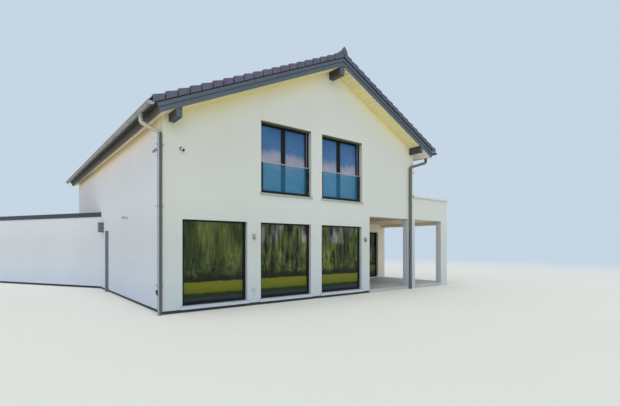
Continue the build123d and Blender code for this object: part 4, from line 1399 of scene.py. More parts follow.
def pipe_fittings():
    """Sockets and foot sleeves of both downpipes."""
    radius = bpy.context.scene.house_drain.pipe_radius
    bm = bmesh.new()
    for place, heights in zip((LEFT_PIPE, RIGHT_PIPE), SOCKET_HEIGHTS):
        for z in heights:
            pipe_sleeve(bm, place, z, radius + 0.0035, 0.075)
    return bm


def outlet_funnels():
    """Flared outlets soldered to the undersides of the gutters."""
    drain = bpy.context.scene.house_drain
    bm = bmesh.new()
    for (axis, _), y in zip(gutter_sides(), OUTLET_Y):
        top = axis[1] - drain.gutter_radius
        profile = [(0.053, -0.1), (0.0575, -0.1), (0.0575, -0.05), (0.066, -0.02), (0.07, 0.012),
                   (0.06, 0.016)]
        turned(bm, profile, (axis[0], y, top), (0, 0, 1), 28)
    return bm


def clamp_screws():
    """Hexagon heads on the lugs of the pipe clamps."""
    head = bmesh.new()
    turned(head, [(0.0105, 0.0), (0.0105, 0.006), (0.008, 0.008)], (0, 0, 0), (0, -1, 0), 6)
    places = []
    for (x, y), heights in zip((LEFT_PIPE, RIGHT_PIPE), CLAMP_HEIGHTS):
        for z in heights:
            for way in (-1, 1):
                places.append((x + way * 0.082, y - 0.0102, z))
    return sprinkle(head, places)


def rain_diverter():
    """Dark flap of the water diverter on the left downpipe."""
    x, y = LEFT_PIPE
    bm = bmesh.new()
    rings = []
    for z, reach in ((0.46, 0.056), (0.49, 0.078), (0.56, 0.094), (0.585, 0.088)):
        corners = ((-0.045, -0.022), (-reach, -0.02), (-reach, 0.02), (-0.045, 0.022))
        rings.append([bm.verts.new((x + a, y + b, z)) for a, b in corners])
    soften(bm, skin(bm, rings), 0.003)
    bar(bm, (x - 0.06, y - 0.027, 0.455), (x - 0.043, y + 0.027, 0.46), 0.001)
    return bm


class HOUSE_OT_drainage(Operator):
    """Add brackets, seams, aprons, sockets, outlets and clamp screws"""
    bl_idname = "house.drainage"
    bl_label = "Gutters and downpipes"

    def execute(self, context):
        add_piece("gutter_brackets", gutter_brackets(), "zinc")
        add_piece("gutter_seams", gutter_seams(), "zinc")
        add_piece("gutter_caps", gutter_caps(), "zinc", finish="cap_zinc_painted_light")
        add_piece("eave_aprons", eave_aprons(), "zinc")
        add_piece("pipe_sockets", pipe_fittings(), "zinc", finish="pipe_zinc_painted_light")
        add_piece("gutter_outlets", outlet_funnels(), "zinc")
        add_piece("clamp_screws", clamp_screws(), "stainless")
        add_piece("rain_diverter", rain_diverter(), "anthracite_metal")
        return {"FINISHED"}


# Windows, guards and doors


class WindowSettings(PropertyGroup):
    width: FloatProperty(
        name="Width", description="Width of the window openings", default=1.76, unit="LENGTH")
    ground_sill: FloatProperty(
        name="Ground sill", description="Foot of the ground floor windows",
        default=0.15, unit="LENGTH")
    ground_head: FloatProperty(
        name="Ground head", description="Head of the ground floor windows",
        default=2.25, unit="LENGTH")
    upper_sill: FloatProperty(
        name="Upper sill", description="Foot of the upper windows", default=3.076, unit="LENGTH")
    upper_head: FloatProperty(
        name="Upper head", description="Head of the upper windows", default=5.065, unit="LENGTH")
    rail_height: FloatProperty(
        name="Guard rail", description="Top of the guard rails", default=3.972, unit="LENGTH")


GROUND_CENTRES = (1.345, 3.525, 5.705)
UPPER_CENTRES = (3.535, 5.72)
UPPER_FRAME_FACE = 0.203
UPPER_GLASS_FACE = 0.229
GROUND_FRAME_FACE = 0.1
GROUND_GLASS_FACE = 0.126
CAP_PLACE = 0.45
DOOR_X = (7.35, 11.18)
TERRACE_BACK = 3.38


def upper_leaves(centre):
    """Left and right edges of the glass of both leaves."""
    half = bpy.context.scene.house_windows.width / 2 - 0.083
    return ((centre - half, centre - 0.0695), (centre + 0.0695, centre + half))


def ringed(ground, upper):
    """Rings in every window.

    Each is given by its place inside the opening or leaf at the sides, foot and head, the face
    that it lies on, how far it stands out, its width and its edge.
    """
    sizes = bpy.context.scene.house_windows
    bm = bmesh.new()
    half = sizes.width / 2
    spans = [(centre - half, centre + half) for centre in GROUND_CENTRES]
    leaves = [leaf for centre in UPPER_CENTRES for leaf in upper_leaves(centre)]
    for places, z0, z1, rings in ((spans, sizes.ground_sill, sizes.ground_head, ground),
                                  (leaves, sizes.upper_sill, sizes.upper_head, upper)):
        for x0, x1 in places:
            for sides, foot, head, face, out, width, edge in rings:
                ring(bm, (x0 + sides, face - out, z0 + foot), (x1 - sides, face - 0.0003, z1 - head),
                     width, edge)
    return and_back(mesh_from(bm))


def window_gaskets():
    """Black rubber beads round every pane."""
    return ringed([(0.07, 0.07, 0.03, GROUND_GLASS_FACE, 0.006, 0.007, 0.002)],
                  [(0.0, 0.083, 0.065, UPPER_GLASS_FACE, 0.006, 0.007, 0.002)])


def glazing_beads():
    """Stepped beads that frame the panes in the frame colour."""
    return ringed([(0.004, 0.004, 0.002, GROUND_FRAME_FACE, 0.006, 0.028, 0.0025),
                   (0.05, 0.05, 0.012, GROUND_FRAME_FACE, 0.009, 0.018, 0.003)],
                  [(-0.052, 0.031, 0.013, UPPER_FRAME_FACE, 0.005, 0.012, 0.002),
                   (-0.016, 0.067, 0.049, UPPER_FRAME_FACE, 0.004, 0.014, 0.002)])


def drain_caps():
    """Small oval caps over the drain slots at the foot of the frames."""
    sizes = bpy.context.scene.house_windows
    meshes = []
    for centres, y, z in ((GROUND_CENTRES, GROUND_FRAME_FACE - 0.0095, sizes.ground_sill + 0.036),
                          (UPPER_CENTRES, UPPER_FRAME_FACE - 0.0005, sizes.upper_sill + 0.056)):
        for centre in centres:
            cap = bmesh.new()
            bar(cap, (-0.018, -0.005, -0.006), (0.018, 0.0, 0.006), 0.0035)
            first = (centre - CAP_PLACE, y, z)
            step = (2 * CAP_PLACE, 0.0, 0.0)
            meshes.append(laid_rows(cap, "anthracite_frame", first, step, 2))
    return and_back(joined(meshes))


def upper_windows(shape):
    """One mesh of a shape that is made at every upper window."""
    bm = bmesh.new()
    for centre in UPPER_CENTRES:
        shape(bm, centre, bpy.context.scene.house_windows)
    return and_back(mesh_from(bm))


def lintel_linings(bm, centre, sizes):
    """Linings of olive painted shade under the upper lintels, with the roller shutter slot between
    them.
    """
    x0 = centre - sizes.width / 2 + 0.002
    x1 = centre + sizes.width / 2 - 0.002
    z = sizes.upper_head
    bar(bm, (x0, 0.003, z - 0.028), (x1, 0.126, z - 0.0005), 0.003)
    bar(bm, (x0 + 0.056, 0.166, z - 0.012), (x1 - 0.056, 0.2, z - 0.0005), 0.003)


def shutter_bars(bm, centre, sizes):
    """End bars of the drawn up roller shutters in their slots."""
    half = sizes.width / 2 - 0.06
    z = sizes.upper_head
    bar(bm, (centre - half, 0.138, z - 0.014), (centre + half, 0.152, z - 0.0005), 0.004)
    bar(bm, (centre - half, 0.134, z - 0.017), (centre + half, 0.156, z - 0.011), 0.002)


def guide_inserts(bm, centre, sizes):
    """Bright brush strips in the blind guides."""
    for way in (-1, 1):
        x = centre + way * (sizes.width / 2 - 0.055)
        bar(bm, (x, 0.166, sizes.rail_height + 0.004),
            (x - way * 0.004, 0.1825, sizes.upper_head - 0.014), 0.001)


def guard_rails(bm, centre, sizes):
    """Rounded top rails with end caps over the guard panes."""
    low_y, high_y = 0.094, 0.126
    top = sizes.rail_height
    half = sizes.width / 2 - 0.04
    section = [(low_y, top - 0.026), (low_y, top - 0.008), (low_y + 0.003, top - 0.003),
               (low_y + 0.009, top), (high_y - 0.009, top), (high_y - 0.003, top - 0.003),
               (high_y, top - 0.008), (high_y, top - 0.026)]
    crossbar(bm, section, centre - half, centre + half)
    for way in (-1, 1):
        x = centre + way * half
        bar(bm, (x - way * 0.006, low_y - 0.0015, top - 0.0275),
            (x + way * 0.003, high_y + 0.0015, top + 0.0015), 0.002)


def guard_edges(bm, centre, sizes):
    """Dark cover profiles along the foot and the sides of the guard panes."""
    foot = sizes.upper_sill + 0.012
    inner = sizes.width / 2 - 0.118
    bar(bm, (centre - inner, 0.0925, foot), (centre + inner, 0.0975, foot + 0.072), 0.002)
    for way in (-1, 1):
        bar(bm, (centre + way * inner, 0.0925, foot),
            (centre + way * (inner + 0.045), 0.0975, sizes.rail_height - 0.028), 0.002)


def guard_clamps():
    """Round clamp discs on the holders of the guard panes."""
    sizes = bpy.context.scene.house_windows
    places = []
    for centre in UPPER_CENTRES:
        for way in (-1, 1):
            for z in (sizes.upper_sill + 0.12, (sizes.upper_sill + sizes.rail_height) / 2,
                      sizes.rail_height - 0.1):
                places.append((centre + way * (sizes.width / 2 - 0.04), 0.0978, z))
    disc = bmesh.new()
    turned(disc, [(0.014, 0.0), (0.014, 0.005), (0.011, 0.0075), (0.005, 0.0075), (0.004, 0.005)],
           (0, 0, 0), (0, -1, 0), 14)
    return and_back(sprinkle(disc, places))


def sill_ends():
    """Upturned end pieces of the metal sills."""
    sizes = bpy.context.scene.house_windows
    meshes = []
    for centres, top in ((GROUND_CENTRES, sizes.ground_sill), (UPPER_CENTRES, sizes.upper_sill)):
        half = sizes.width / 2 + 0.0355
        for centre in centres:
            end = bmesh.new()
            bar(end, (-0.004, -0.046, -0.05), (0.004, 0.0, 0.012), 0.0018)
            first = (centre - half, -0.0005, top)
            meshes.append(laid_rows(end, "light_metal", first, (2 * half, 0.0, 0.0), 2))
    return and_back(joined(meshes))


def door_leaves():
    """Raised leaf frames, sliding track and threshold of the glazed terrace door."""
    face = TERRACE_BACK + GROUND_FRAME_FACE
    middle = (DOOR_X[0] + DOOR_X[1]) / 2
    low, high = 0.14, 2.25
    bm = bmesh.new()
    for x0, x1 in ((DOOR_X[0] + 0.02, middle + 0.03), (middle - 0.03, DOOR_X[1] - 0.02)):
        lift = 0.02 if x0 < middle - 1.0 else 0.012
        ring(bm, (x0, face - lift, low + 0.02), (x1, face - 0.0004, high - 0.02), 0.06, 0.004)
    bar(bm, (DOOR_X[0], face - 0.062, low + 0.0003), (DOOR_X[1], face - 0.021, low + 0.016), 0.003)
    for step in (0.034, 0.05):
        bar(bm, (DOOR_X[0] + 0.01, face - step - 0.004, low + 0.0155),
            (DOOR_X[1] - 0.01, face - step + 0.004, low + 0.023), 0.0015)
    return bm


def door_handle():
    """Long grip with its two plates on the sliding leaf."""
    face = TERRACE_BACK + GROUND_FRAME_FACE - 0.012
    x = (DOOR_X[0] + DOOR_X[1]) / 2
    bm = bmesh.new()
    bar(bm, (x - 0.016, face - 0.009, 1.0), (x + 0.016, face - 0.001, 1.3), 0.004)
    for z in (1.04, 1.26):
        turned(bm, [(0.008, 0.0), (0.008, 0.045)], (x, face - 0.008, z), (0, -1, 0), 12)
    turned(bm, [(0.009, 0.0), (0.011, 0.004), (0.011, 0.276), (0.009, 0.28)],
           (x, face - 0.05, 1.01), (0, 0, 1), 14)
    return bm


class HOUSE_OT_windows(Operator):
    """Finish the windows: beads, gaskets, shutter parts, guards and sill ends"""
    bl_idname = "house.windows"
    bl_label = "Windows and guards"

    def execute(self, context):
        add_piece("window_gaskets", window_gaskets(), "anthracite_frame", finish="black_rubber")
        add_piece("glazing_beads", glazing_beads(), "anthracite_frame")
        add_piece("drain_caps", drain_caps(), "anthracite_frame")
        add_piece("lintel_linings", upper_windows(lintel_linings), "anthracite_metal",
                  finish="lining_painted_shade")
        add_piece("shutter_bars", upper_windows(shutter_bars), "anthracite_metal")
        add_piece("guide_inserts", upper_windows(guide_inserts), "light_metal")
        add_piece("guard_rails", upper_windows(guard_rails), "stainless", ["balustrade_rails"])
        add_piece("guard_edges", upper_windows(guard_edges), "anthracite_frame")
        add_piece("guard_clamps", guard_clamps(), "stainless")
        add_piece("sill_ends", sill_ends(), "light_metal")
        return {"FINISHED"}


class HOUSE_OT_terrace_door(Operator):
    """Add the leaves, track and handle of the terrace door"""
    bl_idname = "house.terrace_door"
    bl_label = "Terrace door"

    def execute(self, context):
        add_piece("door_leaves", door_leaves(), "anthracite_frame")
        add_piece("door_handle", door_handle(), "stainless")
        return {"FINISHED"}


# Terrace, low wing and wedge roof


TERRACE_X = (6.97, 11.645)
TERRACE_TOP = 0.1
COLUMN_FOOT = ((9.06, 9.49), (11.22, 11.645))
SLAB_T = 0.01
SLAB_JOINT = 0.005
SLAB_UNEVEN = 0.0006
WING_X = (9.38, 11.645)
WING_Y = (0.0, 7.4)
WING_FRAME = 0.24
WING_ROOF_TOP = 2.915
WING_SHEETS = 7
WING_TOP = 3.45
COPING_OUT = 0.03
COPING_IN = 0.26
COPING_TOP = WING_TOP + 0.08
WEDGE_CORNERS = ((0.0, 7.19), (-3.098, 12.6), (0.0, 12.6))
WEDGE_TOP = 2.87
WEDGE_ROOF_TOP = 2.84
WEDGE_FASCIA = 0.165
WEDGE_SEAMS = (-0.55, -1.45, -2.35)
GUARD_BARS = 16


def mitred(bm, section, plan):
    """A closed section of (out, height) pairs carried along a plan line with mitred corners.

    Out is to the right hand of the way along the line.
    """
    rings = []
    for i, point in enumerate(plan):
        here = Vector(point)
        ways = []
        if i > 0:
            ways.append((here - Vector(plan[i - 1])).normalized())
        if i < len(plan) - 1:
            ways.append((Vector(plan[i + 1]) - here).normalized())
        sides = [Vector((way.y, -way.x)) for way in ways]
        reach = sum(sides, Vector((0.0, 0.0)))
        reach = reach * (len(sides) / reach.length_squared)
        rings.append([bm.verts.new((here.x + reach.x * out, here.y + reach.y * out, high))
                      for out, high in section])
    skin(bm, rings)


def slab_field(x0, x1, y0, y1, across, deep):
    """Floor slabs of equal size with open joints over a rectangle."""
    wide = (x1 - x0) / across
    long = (y1 - y0) / deep
    half = SLAB_JOINT / 2
    slab = bmesh.new()
    bar(slab, (half, half, 0.0004), (wide - half, long - half, SLAB_T), 0.002)
    return laid_rows(slab, "stone_slabs", (x0, y0, TERRACE_TOP), (wide, 0.0, 0.0), across,
                     (0.0, long, 0.0), deep, SLAB_UNEVEN)


def terrace_slabs():
    """The slabs of the terrace, cut round the feet of both columns."""
    deep = 0.243
    left, right = COLUMN_FOOT
    return joined([
        slab_field(TERRACE_X[0], left[0] - 0.004, 0.002, deep, 4, 1),
        slab_field(left[1] + 0.004, right[0] - 0.004, 0.002, deep, 3, 1),
        slab_field(TERRACE_X[0] + 0.002, TERRACE_X[1] - 0.002, deep, TERRACE_BACK - 0.002, 8, 5),
    ])


def folded_coping():
    """Folded metal cap on the parapet, with drip edges and a fall to the inside."""
    out, inner, top = COPING_OUT, COPING_IN, COPING_TOP
    section = [(out, WING_TOP + 0.006), (out + 0.006, WING_TOP - 0.004),
               (out + 0.008, WING_TOP - 0.002), (out + 0.003, WING_TOP + 0.007),
               (out + 0.003, top - 0.004), (out, top), (-inner + 0.004, top - 0.012),
               (-inner, top - 0.016), (-inner, WING_TOP + 0.002), (-inner + 0.002, WING_TOP + 0.002),
               (-inner + 0.002, top - 0.018), (out, top - 0.006)]
    bm = bmesh.new()
    x0, x1 = WING_X[0] + 0.001, WING_X[1]
    mitred(bm, section, [(x0, WING_Y[0]), (x1, WING_Y[0]), (x1, WING_Y[1]), (x0, WING_Y[1])])
    return bm


def coping_joints():
    """Cover strips over the joints between the coping lengths."""
    out, inner, top = COPING_OUT, COPING_IN, COPING_TOP
    section = [(out + 0.0035, WING_TOP + 0.004), (out + 0.0055, WING_TOP + 0.004),
               (out + 0.0055, top - 0.002), (out + 0.001, top + 0.0025),
               (-inner - 0.001, top - 0.0095), (-inner - 0.0025, top - 0.014),
               (-inner - 0.0025, WING_TOP + 0.01), (-inner - 0.0005, WING_TOP + 0.01),
               (-inner - 0.0005, top - 0.0145), (out + 0.0005, top - 0.001)]
    half = 0.022
    start = WING_X[0] + 0.76
    rows = (
        ([(0.0, -half), (0.0, half)], (WING_X[1], 1.0, 0.0), (0.0, 1.08, 0.0), 6),
        ([(-half, 0.0), (half, 0.0)], (start, WING_Y[0], 0.0), (0.75, 0.0, 0.0), 2),
        ([(half, 0.0), (-half, 0.0)], (start, WING_Y[1], 0.0), (0.75, 0.0, 0.0), 2),
    )
    meshes = []
    for line, first, step, count in rows:
        strip = bmesh.new()
        mitred(strip, section, line)
        meshes.append(laid_rows(strip, "coping", first, step, count))
    return joined(meshes)


def wing_membrane():
    """Lapped sheets on the flat roof, with their upstand along the parapet."""
    x0, x1 = WING_X[0] + 0.004, WING_X[1] - WING_FRAME - 0.004
    y0, y1 = WING_Y[0] + WING_FRAME + 0.004, WING_Y[1] - WING_FRAME - 0.004
    wide = (y1 - y0) / WING_SHEETS
    sheet = bmesh.new()
    profile = [(0.0, 0.0005), (wide + 0.08, 0.0035), (wide + 0.08, 0.0065), (0.0, 0.0035)]
    crossbar(sheet, profile, 0.0, x1 - x0)
    sheets = laid_rows(sheet, "roof_membrane", (x0, y0, WING_ROOF_TOP), (0.0, wide, 0.0),
                       WING_SHEETS - 1)
    last = bmesh.new()
    bar(last, (x0, y1 - wide, WING_ROOF_TOP + 0.0005), (x1, y1, WING_ROOF_TOP + 0.0035))
    section = [(0.0, WING_ROOF_TOP + 0.16), (0.0, WING_ROOF_TOP + 0.045),
               (0.04, WING_ROOF_TOP + 0.007), (0.09, WING_ROOF_TOP + 0.007),
               (0.09, WING_ROOF_TOP + 0.0105), (0.042, WING_ROOF_TOP + 0.0105),
               (0.004, WING_ROOF_TOP + 0.047), (0.004, WING_ROOF_TOP + 0.16)]
    mitred(last, section, [(x0, y1), (x1, y1), (x1, y0), (x0, y0)])
    return joined([sheets, mesh_from(last)])


def roof_drain():
    """Gully of the flat roof with its leaf guard."""
    place = Vector((WING_X[0] + 0.55, WING_Y[1] - 1.0, WING_ROOF_TOP + 0.0035))
    bm = bmesh.new()
    turned(bm, [(0.05, 0.003), (0.15, 0.003), (0.15, 0.008), (0.13, 0.012), (0.085, 0.012),
                (0.08, 0.008), (0.05, 0.008)], place, (0, 0, 1), 32)
    turned(bm, [(0.055, 0.0), (0.055, 0.006), (0.02, 0.012)],
           place + Vector((0, 0, 0.1)), (0, 0, 1), 24)
    section = [(-0.003, -0.003), (0.003, -0.003), (0.003, 0.003), (-0.003, 0.003)]
    for i in range(GUARD_BARS):
        angle = 2 * math.pi * i / GUARD_BARS
        out = Vector((math.cos(angle), math.sin(angle), 0.0))
        path = [place + out * reach + Vector((0, 0, rise)) for reach, rise in
                ((0.086, 0.009), (0.088, 0.049), (0.076, 0.094), (0.05, 0.113))]
        carried(bm, section, path, Vector((-out.y, out.x, 0.0)))
    return bm


def wedge_membrane():
    """Seam strips and raised rim of the wedge roof's sheets."""
    high = WEDGE_ROOF_TOP
    near, far, corner = WEDGE_CORNERS
    slope = (far[1] - near[1]) / (near[0] - far[0])
    bm = bmesh.new()
    for x in WEDGE_SEAMS:
        low = (x - 0.05, near[1] - slope * x + 0.14, high + 0.0004)
        bar(bm, low, (x + 0.05, corner[1] - 0.06, high + 0.004), 0.0012)
    section = [(0.0, high + 0.0004), (0.07, high + 0.0004), (0.068, high + 0.005),
               (0.024, high + 0.005), (0.0, high + 0.026)]
    mitred(bm, section, [(-0.002, near[1] + 0.035), (far[0] + 0.035, far[1] - 0.002),
                         (-0.002, corner[1] - 0.002)])
    return bm


def wedge_edges():
    """Bead along the top and drip along the foot of the wedge fascia."""
    out = 0.03
    top = WEDGE_TOP
    foot = WEDGE_TOP - WEDGE_FASCIA
    bm = bmesh.new()
    near, far, corner = WEDGE_CORNERS
    plan = [near, far, corner]
    cap = [(out - 0.034, top + 0.0004), (out + 0.004, top + 0.0004), (out + 0.007, top + 0.004),
           (out + 0.004, top + 0.008), (out - 0.034, top + 0.005)]
    mitred(bm, cap, plan)
    drip = [(out + 0.0005, foot + 0.03), (out + 0.0005, foot + 0.001), (out + 0.009, foot - 0.008),
            (out + 0.011, foot - 0.006), (out + 0.0025, foot + 0.003), (out + 0.0025, foot + 0.03)]
    mitred(bm, drip, plan)
    return bm


def plinth_trim():
    """Metal profile under the foot of the wall render."""
    section = [(0.0004, 0.083), (0.0004, 0.0805), (-0.012, 0.0785), (-0.012, 0.077),
               (0.007, 0.0745), (0.008, 0.077), (0.0025, 0.0795), (0.0025, 0.086)]
    bm = bmesh.new()
    mitred(bm, section, [(0.0, WEDGE_CORNERS[0][1] - 0.002), (0.0, 0.0), (6.968, 0.0)])
    mitred(bm, section, [(WING_X[1], TERRACE_BACK + 0.002), (WING_X[1], WING_Y[1]),
                         (WING_X[0] + 0.002, WING_Y[1])])
    mitred(bm, section, [(WING_X[0], WING_Y[1] + 0.002), (WING_X[0], HOUSE_DEPTH),
                         (WEDGE_CORNERS[1][0], HOUSE_DEPTH)])
    return bm


class HOUSE_OT_terrace(Operator):
    """Lay the terrace slabs and cap the low wing and the wedge"""
    bl_idname = "house.terrace"
    bl_label = "Terrace, wing and wedge"

    def execute(self, context):
        add_piece("terrace_slabs", terrace_slabs(), "stone_slabs")
        add_piece("coping_cap", folded_coping(), "light_metal", ["wing_coping"], "coping")
        add_piece("coping_joints", coping_joints(), "light_metal", finish="coping")
        add_piece("wing_membrane", wing_membrane(), "roof_membrane")
        add_piece("wing_drain", roof_drain(), "grey_plastic", finish="dark_rail")
        add_piece("wedge_membrane", wedge_membrane(), "roof_membrane")
        add_piece("wedge_edges", wedge_edges(), "anthracite_metal")
        add_piece("plinth_trim", plinth_trim(), "light_metal")
        return {"FINISHED"}


# Wall fittings


LIGHT_PLACES = ((2.425, 1.855), (6.747, 1.82))
LIGHT_OUT = 0.052
LIGHT_HIGH = 0.14
VENT_Y = (6.70, 6.96)
VENT_Z = (2.11, 2.46)
VENT_STEP = (0.0, 0.0, 0.05)
VENT_SLOTS = 6
DUCT_Y = (5.905, 6.005)
DUCT_OUT = 0.09
STRAP_HEIGHTS = (0.44, 1.22, 1.93)
STRAP_HIGH = 0.03
SOCKET_PLACE = (2.42, 0.41)


def wall_light_bodies():
    """Round housings with open ends on their wall plates."""
    bm = bmesh.new()
    half = LIGHT_HIGH / 2
    for x, z in LIGHT_PLACES:
        bar(bm, (x - 0.036, -0.012, z - 0.064), (x + 0.036, -0.0003, z + 0.064), 0.003)
        bar(bm, (x - 0.012, -0.03, z - 0.02), (x + 0.012, -0.0115, z + 0.02), 0.003)
        profile = [(0.030, 0.014 - half), (0.030, -half), (0.034, -half), (0.036, 0.002 - half),
                   (0.036, half - 0.002), (0.034, half), (0.030, half), (0.030, half - 0.014)]
        turned(bm, profile, (x, -LIGHT_OUT, z), (0, 0, 1), 40)
    return bm


def wall_light_lenses():
    """Frosted lenses in both ends of the housings."""
    bm = bmesh.new()
    for x, z in LIGHT_PLACES:
        for way in (-1, 1):
            turned(bm, [(0.0296, 0.0), (0.0296, 0.005), (0.024, 0.008), (0.012, 0.0095)],
                   (x, -LIGHT_OUT, z + way * (LIGHT_HIGH / 2 - 0.0135)), (0, 0, way), 32)
    return bm


def wall_light_screws():
    """Screws above and below each housing."""
    places = [(x, -0.0122, z + way * 0.054) for x, z in LIGHT_PLACES for way in (-1, 1)]
    return sprinkle(screw_head(0.0035, 0.002, (0, -1, 0)), places)


def camera_mount(bm, foot, out, centre):
    """Wall plate, ball joint and arm of a camera."""
    foot, out = Vector(foot), Vector(out)
    turned(bm, [(0.045, 0.0003), (0.045, 0.009), (0.042, 0.013), (0.02, 0.016), (0.016, 0.022),
                (0.014, 0.03)], foot, out, 32)
    joint = foot + out * 0.038
    turned(bm, arc((0, 0), 0.0165, -80, 80, 8), joint, out, 20)
    arm = Vector(centre) - joint
    turned(bm, [(0.009, 0.0), (0.009, arm.length)], joint, arm, 14)


def camera_body(bm, centre, aim, radius, length):
    """Barrel of a camera."""
    aim = Vector(aim).normalized()
    half = length / 2
    profile = [(radius * 0.80, -half), (radius * 0.95, -half + 0.004), (radius, -half + 0.012),
               (radius, half - 0.022), (radius * 0.985, half - 0.02), (radius * 0.985, half - 0.018),
               (radius, half - 0.016), (radius, half - 0.004), (radius * 0.95, half)]
    turned(bm, profile, centre, aim, 36)


def camera_lens(bm, centre, aim, radius, length):
    """Black hood and lens of a camera."""
    centre = Vector(centre)
    aim = Vector(aim).normalized()
    front = length / 2
    profile = [(radius * 0.98, front - 0.022), (radius * 1.03, front - 0.02),
               (radius * 1.03, front + 0.005), (radius * 0.97, front + 0.007),
               (radius * 0.9, front + 0.002), (radius * 0.55, front + 0.002),
               (radius * 0.5, front + 0.005), (radius * 0.3, front + 0.007),
               (radius * 0.1, front + 0.0078)]
    turned(bm, profile, centre, aim, 32)


# Each camera: foot and way out of the wall, centre and aim of the body, its radius and length.
FRONT_CAMERA = ((0.432, 0.0, 3.93), (0, -1, 0), (0.446, -0.075, 3.895), (0.2, -0.85, -0.49),
                0.031, 0.08)
SIDE_CAMERA = ((0.0, 0.46, 3.935), (-1, 0, 0), (-0.085, 0.385, 3.865), (-0.62, -0.6, -0.5),
               0.03, 0.11)
SENSOR = ((0.0, 3.3, 2.44), (-1, 0, 0), (-0.105, 3.32, 2.447), (-1.0, 0.1, -0.08), 0.032, 0.075)
DOME_PLACE = (9.38, 0.04, 4.43)
DOME_OUT = 0.118
DOME_R = 0.055


def dome_housing():
    """White round housing of the corner camera on its arm."""
    x, y, z = DOME_PLACE
    bm = bmesh.new()
    turned(bm, [(0.045, 0.0003), (0.045, 0.009), (0.042, 0.014), (0.016, 0.02)],
           (x, y, z), (1, 0, 0), 32)
    turned(bm, [(0.013, 0.012), (0.013, DOME_OUT - 0.03)], (x, y, z), (1, 0, 0), 16)
    centre = (x + DOME_OUT, y, z - 0.01)
    profile = [(0.04, -0.035), *arc((0, 0), DOME_R, -32, 80, 14)]
    turned(bm, profile, centre, (0, 0, 1), 36)
    return bm


def dome_foot():
    """White lower cover of the corner camera."""
    x, y, z = DOME_PLACE
    bm = bmesh.new()
    profile = [*arc((0, 0), DOME_R - 0.005, -84, -36, 6), (0.038, -0.032)]
    turned(bm, profile, (x + DOME_OUT, y, z - 0.01), (0, 0, 1), 32)
    return bm


def vent_blades():
    """Slanted blades in the slots of the vent box."""
    blade = bmesh.new()
    outline = [(0.001, 0.003), (0.003, 0.002), (0.0115, 0.022), (0.0095, 0.023)]
    crossbar(blade, outline, -0.1345, -0.0155)
    first = (0.0, VENT_Y[0], VENT_Z[0] + 0.04)
    return laid_rows(blade, "slat_grey", first, VENT_STEP, VENT_SLOTS)


def vent_slats():
    """Slanted slats over the outer side of the vent box."""
    slat = bmesh.new()
    outline = [(-0.1505, 0.004), (-0.156, 0.0), (-0.158, 0.003), (-0.1525, 0.03), (-0.1505, 0.03)]
    prism(slat, outline, VENT_Y[0] + 0.016, VENT_Y[1] - 0.016)
    return laid_rows(slat, "slat_grey", (0.0, 0.0, VENT_Z[0] + 0.036), VENT_STEP, VENT_SLOTS)


def vent_frame():
    """Rim round the slats and a cap with a drip edge on the vent box."""
    bm = bmesh.new()
    y0, y1 = VENT_Y
    z0, z1 = VENT_Z
    for low_y, high_y in ((y0 + 0.001, y0 + 0.014), (y1 - 0.014, y1 - 0.001)):
        bar(bm, (-0.1585, low_y, z0 + 0.001), (-0.1503, high_y, z1 - 0.001), 0.0015)
    for low_z, high_z in ((z0 + 0.001, z0 + 0.026), (z1 - 0.016, z1 - 0.001)):
        bar(bm, (-0.1585, y0 + 0.0145, low_z), (-0.1503, y1 - 0.0145, high_z), 0.0015)
    bar(bm, (-0.161, y0 - 0.004, z1 + 0.0003), (-0.0005, y1 + 0.004, z1 + 0.005), 0.0015)
    return bm


def duct_straps():
    """Joint bands and wall straps of the upright duct."""
    bm = bmesh.new()
    y0, y1 = DUCT_Y
    straps = [(z, STRAP_HIGH, 0.0025) for z in STRAP_HEIGHTS]
    for z, high, lift in straps + [(0.83, 0.09, 0.002), (1.64, 0.09, 0.002)]:
        plan = [(-0.0005, y0 - 0.0002), (-DUCT_OUT + 0.012, y0 - 0.0002),
                (-DUCT_OUT - 0.0002, y0 + 0.012), (-DUCT_OUT - 0.0002, y1 - 0.012),
                (-DUCT_OUT + 0.012, y1 + 0.0002), (-0.0005, y1 + 0.0002)]
        mitred(bm, [(0.0, z), (lift, z), (lift, z + high), (0.0, z + high)], plan)
        if high == STRAP_HIGH:
            for low_y, high_y in ((y0 - 0.035, y0 - 0.001), (y1 + 0.001, y1 + 0.035)):
                bar(bm, (-0.0035, low_y, z), (-0.0004, high_y, z + high), 0.001)
    return bm


def duct_screws():
    """Screws in the ears of the wall straps."""
    places = []
    for strap_z in STRAP_HEIGHTS:
        z = strap_z + STRAP_HIGH / 2
        places += [(-0.0036, DUCT_Y[0] - 0.02, z), (-0.0036, DUCT_Y[1] + 0.02, z)]
    return sprinkle(screw_head(0.006, 0.004, (-1, 0, 0)), places)


def outdoor_socket():
    """Splash proof socket with its hinged lid."""
    x, z = SOCKET_PLACE
    bm = bmesh.new()
    bar(bm, (x - 0.038, -0.03, z - 0.038), (x + 0.038, -0.0003, z + 0.038), 0.006)
    bar(bm, (x - 0.032, -0.042, z - 0.034), (x + 0.032, -0.0305, z + 0.03), 0.005)
    bar(bm, (x - 0.022, -0.04, z + 0.03), (x + 0.022, -0.0305, z + 0.037), 0.002)
    bar(bm, (x - 0.01, -0.047, z - 0.031), (x + 0.01, -0.0422, z - 0.024), 0.002)
    return bm


class HOUSE_OT_lights(Operator):
    """Put the wall lights with their lenses and screws on the front"""
    bl_idname = "house.lights"
    bl_label = "Wall lights"

    def execute(self, context):
        add_piece("light_housings", wall_light_bodies(), "dark_fitting", ["wall_lights"])
        add_piece("light_lenses", wall_light_lenses(), "white_fitting", finish="lens")
        add_piece("light_screws", wall_light_screws(), "stainless")
        return {"FINISHED"}


